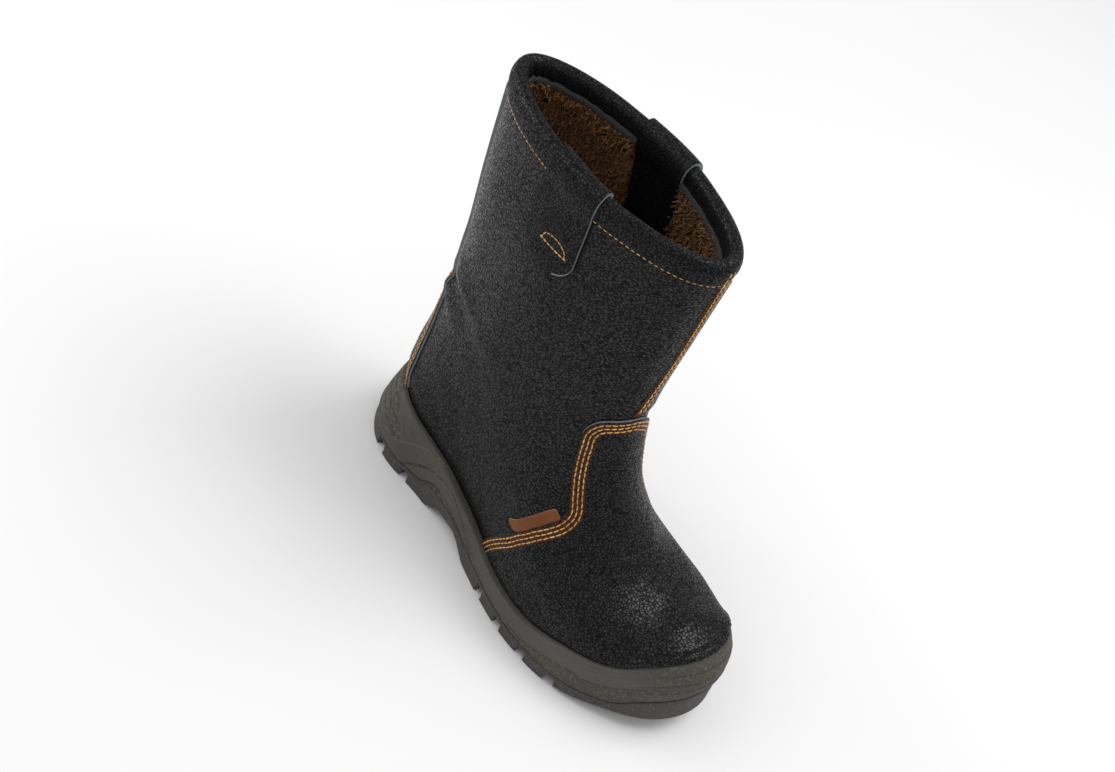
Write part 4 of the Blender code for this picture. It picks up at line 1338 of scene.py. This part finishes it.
def make_fur_lining():
    """Lining inside the shaft and the foot, from the collar's roll to the insole."""
    turn = even_turns(220, RING["low"])
    rings = even_rings(120, FUR_FOOT, SHAFT_TOP)
    heights = [*((rings - SHAFT_TOP) * RING_HEIGHT), 1.0, FUR_TOP]
    face = [fur_row(turn, up, 0.0) for up in heights]
    back = [upper_point(ring, turn, -FUR_BACK) for ring in even_rings(30, FUR_FOOT, SHAFT_TOP)]
    piece = add_tube("fur_lining", face + back[::-1], brown_fur)
    set_pile(piece, 0.45)
    return piece


def make_felt_edge():
    """Felt along the top of the fur, under the collar's roll, with an uneven lower edge."""
    turn = even_turns(300, SHAFT_TOP)
    ragged = 0.4 * np.sin(turn * 61) + 0.3 * np.sin(turn * 143 + 1.0)
    loops = []
    for out, up in FELT_SECTION:
        loops.append(collar_point(turn, out + 0.2 * ragged, up + ragged * (up < 2)))
    return add_tube("felt_edge", loops, grey_felt)


def make_stitch_tree():
    """Geometry nodes: an arched stitch at every step along seam lines, upright on the seam."""
    tree, given, result = new_group(
        "stitch_row", "GeometryNodeTree",
        (("Seam", "NodeSocketGeometry", None), ("Pitch", "NodeSocketFloat", 0.0035),
         ("Length", "NodeSocketFloat", 0.0027), ("Thread radius", "NodeSocketFloat", 0.0004),
         ("Rise", "NodeSocketFloat", 0.0006), ("Sink", "NodeSocketFloat", 0.0005),
         ("Wobble", "NodeSocketFloat", 0.1), ("Seed", "NodeSocketInt", 3),
         ("Thread", "NodeSocketMaterial", None)),
        (("Stitches", "NodeSocketGeometry"),),
    )
    seam = add_node(tree, "GeometryNodeMeshToCurve", {"Mesh": given["Seam"]}).outputs["Curve"]
    steps = add_node(
        tree, "GeometryNodeResampleCurve", {"Curve": seam, "Length": given["Pitch"]}, mode="LENGTH",
    )
    tangent = add_node(tree, "GeometryNodeInputTangent").outputs["Tangent"]
    upward = add_node(
        tree, "GeometryNodeInputNamedAttribute", {"Name": "seam_up"}, data_type="FLOAT_VECTOR",
    )
    turned = add_node(tree, "FunctionNodeAlignRotationToVector", {"Vector": tangent}, axis="X").outputs[0]
    facing = add_node(
        tree, "FunctionNodeAlignRotationToVector", {"Rotation": turned, "Vector": upward.outputs[0]},
        axis="Z", pivot_axis="X",
    ).outputs[0]
    least = maths(tree, "MULTIPLY", given["Wobble"], -1.0)
    sway = add_node(
        tree, "FunctionNodeRandomValue",
        {"Min_001": least, "Max_001": given["Wobble"], "Seed": given["Seed"]}, data_type="FLOAT",
    ).outputs[1]
    swing = add_node(tree, "FunctionNodeAxisAngleToRotation", {"Axis": (0, 0, 1), "Angle": sway})
    rotation = add_node(
        tree, "FunctionNodeRotateRotation", {"Rotation": facing, "Rotate By": swing.outputs[0]},
        rotation_space="LOCAL",
    ).outputs[0]
    half = maths(tree, "MULTIPLY", given["Length"], 0.5)
    low = maths(tree, "MULTIPLY", given["Sink"], -1.0)
    high = maths(tree, "MULTIPLY", given["Rise"], 2.0)
    start = vector(tree, x=maths(tree, "MULTIPLY", half, -1.0), z=low)
    top = vector(tree, z=high)
    end = vector(tree, x=half, z=low)
    arc = add_node(
        tree, "GeometryNodeCurveQuadraticBezier",
        {"Resolution": 5, "Start": start, "Middle": top, "End": end},
    ).outputs["Curve"]
    strand = add_node(
        tree, "GeometryNodeCurvePrimitiveCircle", {"Resolution": 6, "Radius": given["Thread radius"]},
    ).outputs["Curve"]
    stitch = add_node(
        tree, "GeometryNodeCurveToMesh", {"Curve": arc, "Profile Curve": strand, "Fill Caps": True},
    ).outputs["Mesh"]
    placed = add_node(
        tree, "GeometryNodeInstanceOnPoints",
        {"Points": steps.outputs["Curve"], "Instance": stitch, "Rotation": rotation},
    ).outputs["Instances"]
    finish_tree(tree, placed, given["Thread"], result["Stitches"])
    return tree


def finish_tree(tree, geometry, material, socket):
    """Close of a geometry tree: instances made real, shaded smooth and given their material."""
    real = add_node(tree, "GeometryNodeRealizeInstances", {"Geometry": geometry}).outputs["Geometry"]
    smooth = add_node(tree, "GeometryNodeSetShadeSmooth", {"Geometry": real}).outputs["Geometry"]
    worn = add_node(tree, "GeometryNodeSetMaterial", {"Geometry": smooth, "Material": material})
    tree.links.new(worn.outputs["Geometry"], socket)


def make_fur_tree():
    """Geometry nodes: bent tapered locks over a lining, each with its own lean, size and tone."""
    tree, given, result = new_group(
        "fur_pile", "GeometryNodeTree",
        (("Lining", "NodeSocketGeometry", None), ("Locks per square metre", "NodeSocketFloat", 120000.0),
         ("Length", "NodeSocketFloat", 0.005), ("Width", "NodeSocketFloat", 0.001),
         ("Seed", "NodeSocketInt", FUR_SEED), ("Fur", "NodeSocketMaterial", None)),
        (("Locks", "NodeSocketGeometry"),),
    )
    scatter = add_node(
        tree, "GeometryNodeDistributePointsOnFaces",
        {"Mesh": given["Lining"], "Density": given["Locks per square metre"], "Seed": given["Seed"]},
    )
    narrow = maths(tree, "MULTIPLY", given["Width"], 0.3)
    cone = add_node(
        tree, "GeometryNodeMeshCone",
        {"Vertices": 3, "Side Segments": 2, "Radius Top": narrow, "Radius Bottom": given["Width"],
         "Depth": given["Length"]}, fill_type="NGON",
    ).outputs["Mesh"]
    place = add_node(tree, "GeometryNodeInputPosition").outputs["Position"]
    upward = add_node(tree, "ShaderNodeSeparateXYZ", {0: place}).outputs[2]
    height = maths(tree, "DIVIDE", upward, given["Length"])
    reach = maths(tree, "MULTIPLY", given["Length"], 0.5)
    bend = vector(tree, x=maths(tree, "MULTIPLY", maths(tree, "MULTIPLY", height, height), reach))
    # Height along each lock, for the painted shade at its root
    marked = add_node(
        tree, "GeometryNodeStoreNamedAttribute", {"Geometry": cone, "Name": "lock_tip", "Value": height},
        data_type="FLOAT", domain="POINT",
    ).outputs["Geometry"]
    bent = add_node(
        tree, "GeometryNodeSetPosition", {"Geometry": marked, "Offset": bend},
    ).outputs["Geometry"]
    most = (LOCK_LEAN, LOCK_LEAN, 3.14)
    spin = add_node(
        tree, "FunctionNodeRandomValue",
        {"Min": tuple(-angle for angle in most), "Max": most, "Seed": given["Seed"]},
        data_type="FLOAT_VECTOR",
    ).outputs[0]
    turned = add_node(tree, "FunctionNodeEulerToRotation", {"Euler": spin}).outputs[0]
    rotation = add_node(
        tree, "FunctionNodeRotateRotation", {"Rotation": scatter.outputs["Rotation"], "Rotate By": turned},
        rotation_space="LOCAL",
    ).outputs[0]
    size, tone = (
        add_node(
            tree, "FunctionNodeRandomValue", {"Min_001": low, "Max_001": high}, data_type="FLOAT",
        ).outputs[1]
        for low, high in (LOCK_SIZES, (0.0, 1.0))
    )
    placed = add_node(
        tree, "GeometryNodeInstanceOnPoints",
        {"Points": scatter.outputs["Points"], "Instance": bent, "Rotation": rotation, "Scale": size},
    ).outputs["Instances"]
    toned = add_node(
        tree, "GeometryNodeStoreNamedAttribute", {"Geometry": placed, "Name": "lock_tone", "Value": tone},
        data_type="FLOAT", domain="INSTANCE",
    ).outputs["Geometry"]
    finish_tree(tree, toned, given["Fur"], result["Locks"])
    return tree


def grow(name, mesh, tree, values):
    """Piece made by a geometry tree from a mesh, as a plain mesh with no modifier left."""
    piece = bpy.data.objects.new(name, mesh)
    bpy.context.collection.objects.link(piece)
    modifier = piece.modifiers.new("grow", "NODES")
    modifier.node_group = tree
    sockets = {item.name: item.identifier for item in tree.interface.items_tree if item.in_out == "INPUT"}
    for label, value in values.items():
        modifier[sockets[label]] = value
    graph = bpy.context.evaluated_depsgraph_get()
    result = bpy.data.meshes.new_from_object(
        piece.evaluated_get(graph), preserve_all_data_layers=True, depsgraph=graph,
    )
    result.name = name
    piece.modifiers.remove(modifier)
    piece.data = result
    return piece


def sew(name, rows, pitch=STITCH_PITCH, stitch=STITCH_LENGTH, thread=THREAD_RADIUS):
    """Stitches along rows, each row a pair of points in millimetres and up directions."""
    mesh = bpy.data.meshes.new(name + "_seams")
    points, edges, ups = [], [], []
    for row_points, row_ups in rows:
        first = len(points)
        points += in_metres(row_points).tolist()
        ups += np.asarray(row_ups).tolist()
        edges += [(k, k + 1) for k in range(first, len(points) - 1)]
    mesh.from_pydata(points, edges, [])
    attribute = mesh.attributes.new("seam_up", "FLOAT_VECTOR", "POINT")
    attribute.data.foreach_set("vector", np.array(ups).ravel())
    sizes = {
        "Pitch": pitch * MM, "Length": stitch * MM, "Thread radius": thread * MM,
        "Rise": STITCH_RISE * thread * MM, "Sink": STITCH_SINK * thread * MM,
        "Wobble": STITCH_WOBBLE, "Seed": STITCH_SEED, "Thread": orange_thread,
    }
    return grow(name, mesh, stitch_tree, sizes)


def seam_on_upper(ring, turn, out):
    """One seam row on a sheet that lies on the upper."""
    return upper_point(ring, turn, out), surface_normal(ring, turn)


def make_vamp_stitches():
    """Three rows along the vamp's cut edge."""
    ring, turn, _ = vamp_edge(700)
    turn = np.radians(turn)
    inward = inward_from(ring, turn, 3.0 + 0 * ring, 0 * turn)
    rows = []
    for distance in VAMP_ROWS:
        row_ring, row_turn = walk(ring, turn, inward, np.full(ring.shape, distance))
        kept = row_ring > SEWN_FROM + 0.03
        rows.append(seam_on_upper(row_ring[kept], row_turn[kept], GAP + OVERLAY - 0.5 * SEAM_PULL))
    return sew("vamp_stitches", rows)


def make_back_stitches():
    """Two rows along either edge of the back strip."""
    rings, halves = zip(*BACK_STRIP_EDGE)
    ring = even_rings(300, SEWN_FROM + 0.04, SEWN_TO)
    half = np.radians(curve(rings, halves, ring))
    rows = []
    for side in (-1, 1):
        edge = np.pi + side * half
        inward = inward_from(ring, edge, ring, np.pi + 0 * edge)
        for distance in STRIP_ROWS:
            row_ring, row_turn = walk(ring, edge, inward, np.full(ring.shape, distance))
            rows.append(seam_on_upper(row_ring, row_turn, GAP + OVERLAY - 0.5 * SEAM_PULL))
    return sew("back_strip_stitches", rows)


def make_front_stitches():
    """Two rows down the shin seam, up past the collar's stitch row to the roll."""
    ring = np.linspace(FRONT_STRIP_EDGE[0][0] + FRONT_STRIP_CUT, SEWN_TO, 240)
    rows = []
    for turn in front_rows(ring):
        points, ups = seam_on_upper(ring, turn, GAP + OVERLAY - 0.5 * SEAM_PULL)
        up = np.linspace(0.8, 9.0, 12)
        above = collar_point(np.full(up.shape, turn[-1]), np.interp(up, (0.8, 4.0), (1.7, 1.6)), up)
        normal = np.repeat(ups[-1:], len(up), axis=0)
        rows.append((np.concatenate([points, above]), np.concatenate([ups, normal])))
    return sew("front_stitches", rows)


def make_collar_stitches():
    """One row around the foot of the roll, left out under the pull tabs."""
    turn = np.linspace(0, 2 * np.pi, 1200)
    tab = TAB_HALF_WIDTH / SHAFT_RADIUS + 0.02
    clear = turn_from_tab(turn, 0.0) > tab
    rows = []
    starts = np.flatnonzero(np.diff(clear.astype(int))) + 1
    for part in np.split(np.arange(len(turn)), starts):
        if clear[part[0]]:
            here = turn[part]
            rows.append((collar_point(here, 0.72, 0.9), surface_normal(SHAFT_TOP + 0 * here, here)))
    return sew("collar_stitches", rows, pitch=3.6, stitch=2.9, thread=0.44)


def make_tab_stitches():
    """Half-moon of stitches on the outer leg of each pull tab."""
    arc = np.radians(np.linspace(0, 180, 60))
    bow = np.stack([MOON_MIDDLE - MOON_HALF * np.cos(arc), MOON_FOOT + MOON_RISE * np.sin(arc)], axis=-1)
    foot = MOON_FOOT - 0.6
    flat = np.linspace((MOON_MIDDLE + MOON_HALF, foot), (MOON_MIDDLE - MOON_HALF, foot), 40)
    rows = []
    for side in (-1, 1):
        for drawing in (bow, flat):
            across, up = drawing.T
            turn = tab_turn(side, across / TAB_HALF_WIDTH, up)
            ring = SHAFT_TOP + up / RING_HEIGHT
            rows.append((collar_point(turn, GAP + TAB, up), surface_normal(ring, turn)))
    return sew("tab_stitches", rows, pitch=2.9, stitch=2.4, thread=0.38)


def make_fur_locks():
    """Locks of the pile where the leg's opening shows them."""
    turn = even_turns(160, RING["low"])
    heights = np.linspace((LOCKS_FROM - SHAFT_TOP) * RING_HEIGHT, FUR_TOP, 60)
    grid = np.array([fur_row(turn, up, -0.4) for up in heights])
    points = in_metres(grid.reshape(-1, 3))
    covered = (heights > -TAB_INNER_LEG)[:, None] & (under_tab(turn, heights[:, None]) > 0.5)
    covered = covered.ravel()
    faces = [face[::-1] for face in grid_faces(len(heights), len(turn), True) if not covered[face[0]]]
    mesh = bpy.data.meshes.new("lining_face")
    mesh.from_pydata(points.tolist(), [], faces)
    sizes = {
        "Locks per square metre": LOCK_DENSITY, "Length": LOCK_LENGTH * MM, "Width": LOCK_WIDTH * MM,
        "Seed": FUR_SEED, "Fur": brown_fur,
    }
    return grow("fur_locks", mesh, fur_tree, sizes)


def make_camera():
    """Camera at the photo's angle to the boot, rolled as there, with the boot in the middle."""
    azimuth, elevation, roll = np.radians((CAMERA_AZIMUTH, CAMERA_ELEVATION, CAMERA_ROLL))
    flat = np.cos(elevation)
    back = Vector((np.sin(azimuth) * flat, -np.cos(azimuth) * flat, np.sin(elevation)))
    level = Vector((np.cos(azimuth), np.sin(azimuth), 0))
    upright = back.cross(level)
    right = level * np.cos(roll) + upright * np.sin(roll)
    up = upright * np.cos(roll) - level * np.sin(roll)
    lens = bpy.data.cameras.new("photo_camera")
    lens.lens = CAMERA_LENS
    lens.sensor_width = 36
    width, height = PHOTO_SIZE
    lens.shift_x = (width / 2 - TARGET_PIXEL[0]) / width
    lens.shift_y = (TARGET_PIXEL[1] - height / 2) / width
    camera = bpy.data.objects.new("photo_camera", lens)
    place = Vector(CAMERA_TARGET) + back * CAMERA_DISTANCE
    camera.matrix_world = Matrix.Translation(place) @ Matrix((right, up, back)).transposed().to_4x4()
    bpy.context.collection.objects.link(camera)
    bpy.context.scene.camera = camera


def add_softbox(name, place, size, power):
    """Square area light that faces the boot."""
    light = bpy.data.lights.new(name, "AREA")
    light.shape = "SQUARE"
    light.size = size
    light.energy = power
    lamp = bpy.data.objects.new(name, light)
    lamp.location = place
    lamp.rotation_euler = (Vector(LIGHT_TARGET) - Vector(place)).to_track_quat("-Z", "Y").to_euler()
    bpy.context.collection.objects.link(lamp)


def make_stage():
    """Pale floor, soft studio lights and a light surround."""
    mesh = bpy.data.meshes.new("floor")
    corners = [(x * FLOOR_REACH, y * FLOOR_REACH, 0) for x, y in ((-1, -1), (1, -1), (1, 1), (-1, 1))]
    mesh.from_pydata(corners, [], [(0, 1, 2, 3)])
    material, tree, shader = new_finish("pale_floor")
    patches = noise(tree, object_place(tree), 3.0)
    tree.links.new(blend(tree, patches, FLOOR_DARK, FLOOR_LIGHT), shader.inputs["Base Color"])
    shader.inputs["Roughness"].default_value = 0.9
    shader.inputs["Specular IOR Level"].default_value = 0.2
    mesh.materials.append(material)
    floor = bpy.data.objects.new("floor", mesh)
    bpy.context.collection.objects.link(floor)
    world = bpy.data.worlds.new("studio")
    world.use_nodes = True
    background = world.node_tree.nodes["Background"]
    background.inputs["Color"].default_value = (1.0, 1.0, 1.0, 1)
    background.inputs["Strength"].default_value = SURROUND
    bpy.context.scene.world = world
    bpy.context.scene.view_settings.view_transform = "Standard"
    for name, (place, size, power) in LIGHTS.items():
        add_softbox(name, place, size, power)


make_camera()
make_stage()
stitch_tree = make_stitch_tree()
fur_tree = make_fur_tree()

PIECES = (
    ("leather", make_upper()), ("leather", make_vamp()), ("leather", make_back_strip()),
    ("leather", make_front_strip()), ("leather", make_collar()),
    ("leather", make_pull_tab("boot_pull_tab_outer", "pull_tab_outer", -1)),
    ("leather", make_pull_tab("boot_pull_tab_inner", "pull_tab_inner", 1)),
    ("label", make_side_label()), ("midsole", make_midsole()), ("outsole", make_outsole()),
    ("insole", make_insole()), ("insole", make_fur_lining()), ("insole", make_fur_locks()),
    (None, make_felt_edge()), (None, make_vamp_stitches()), (None, make_back_stitches()),
    (None, make_front_stitches()), (None, make_collar_stitches()), (None, make_tab_stitches()),
)
for slot, piece in PIECES:
    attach(piece, "root")
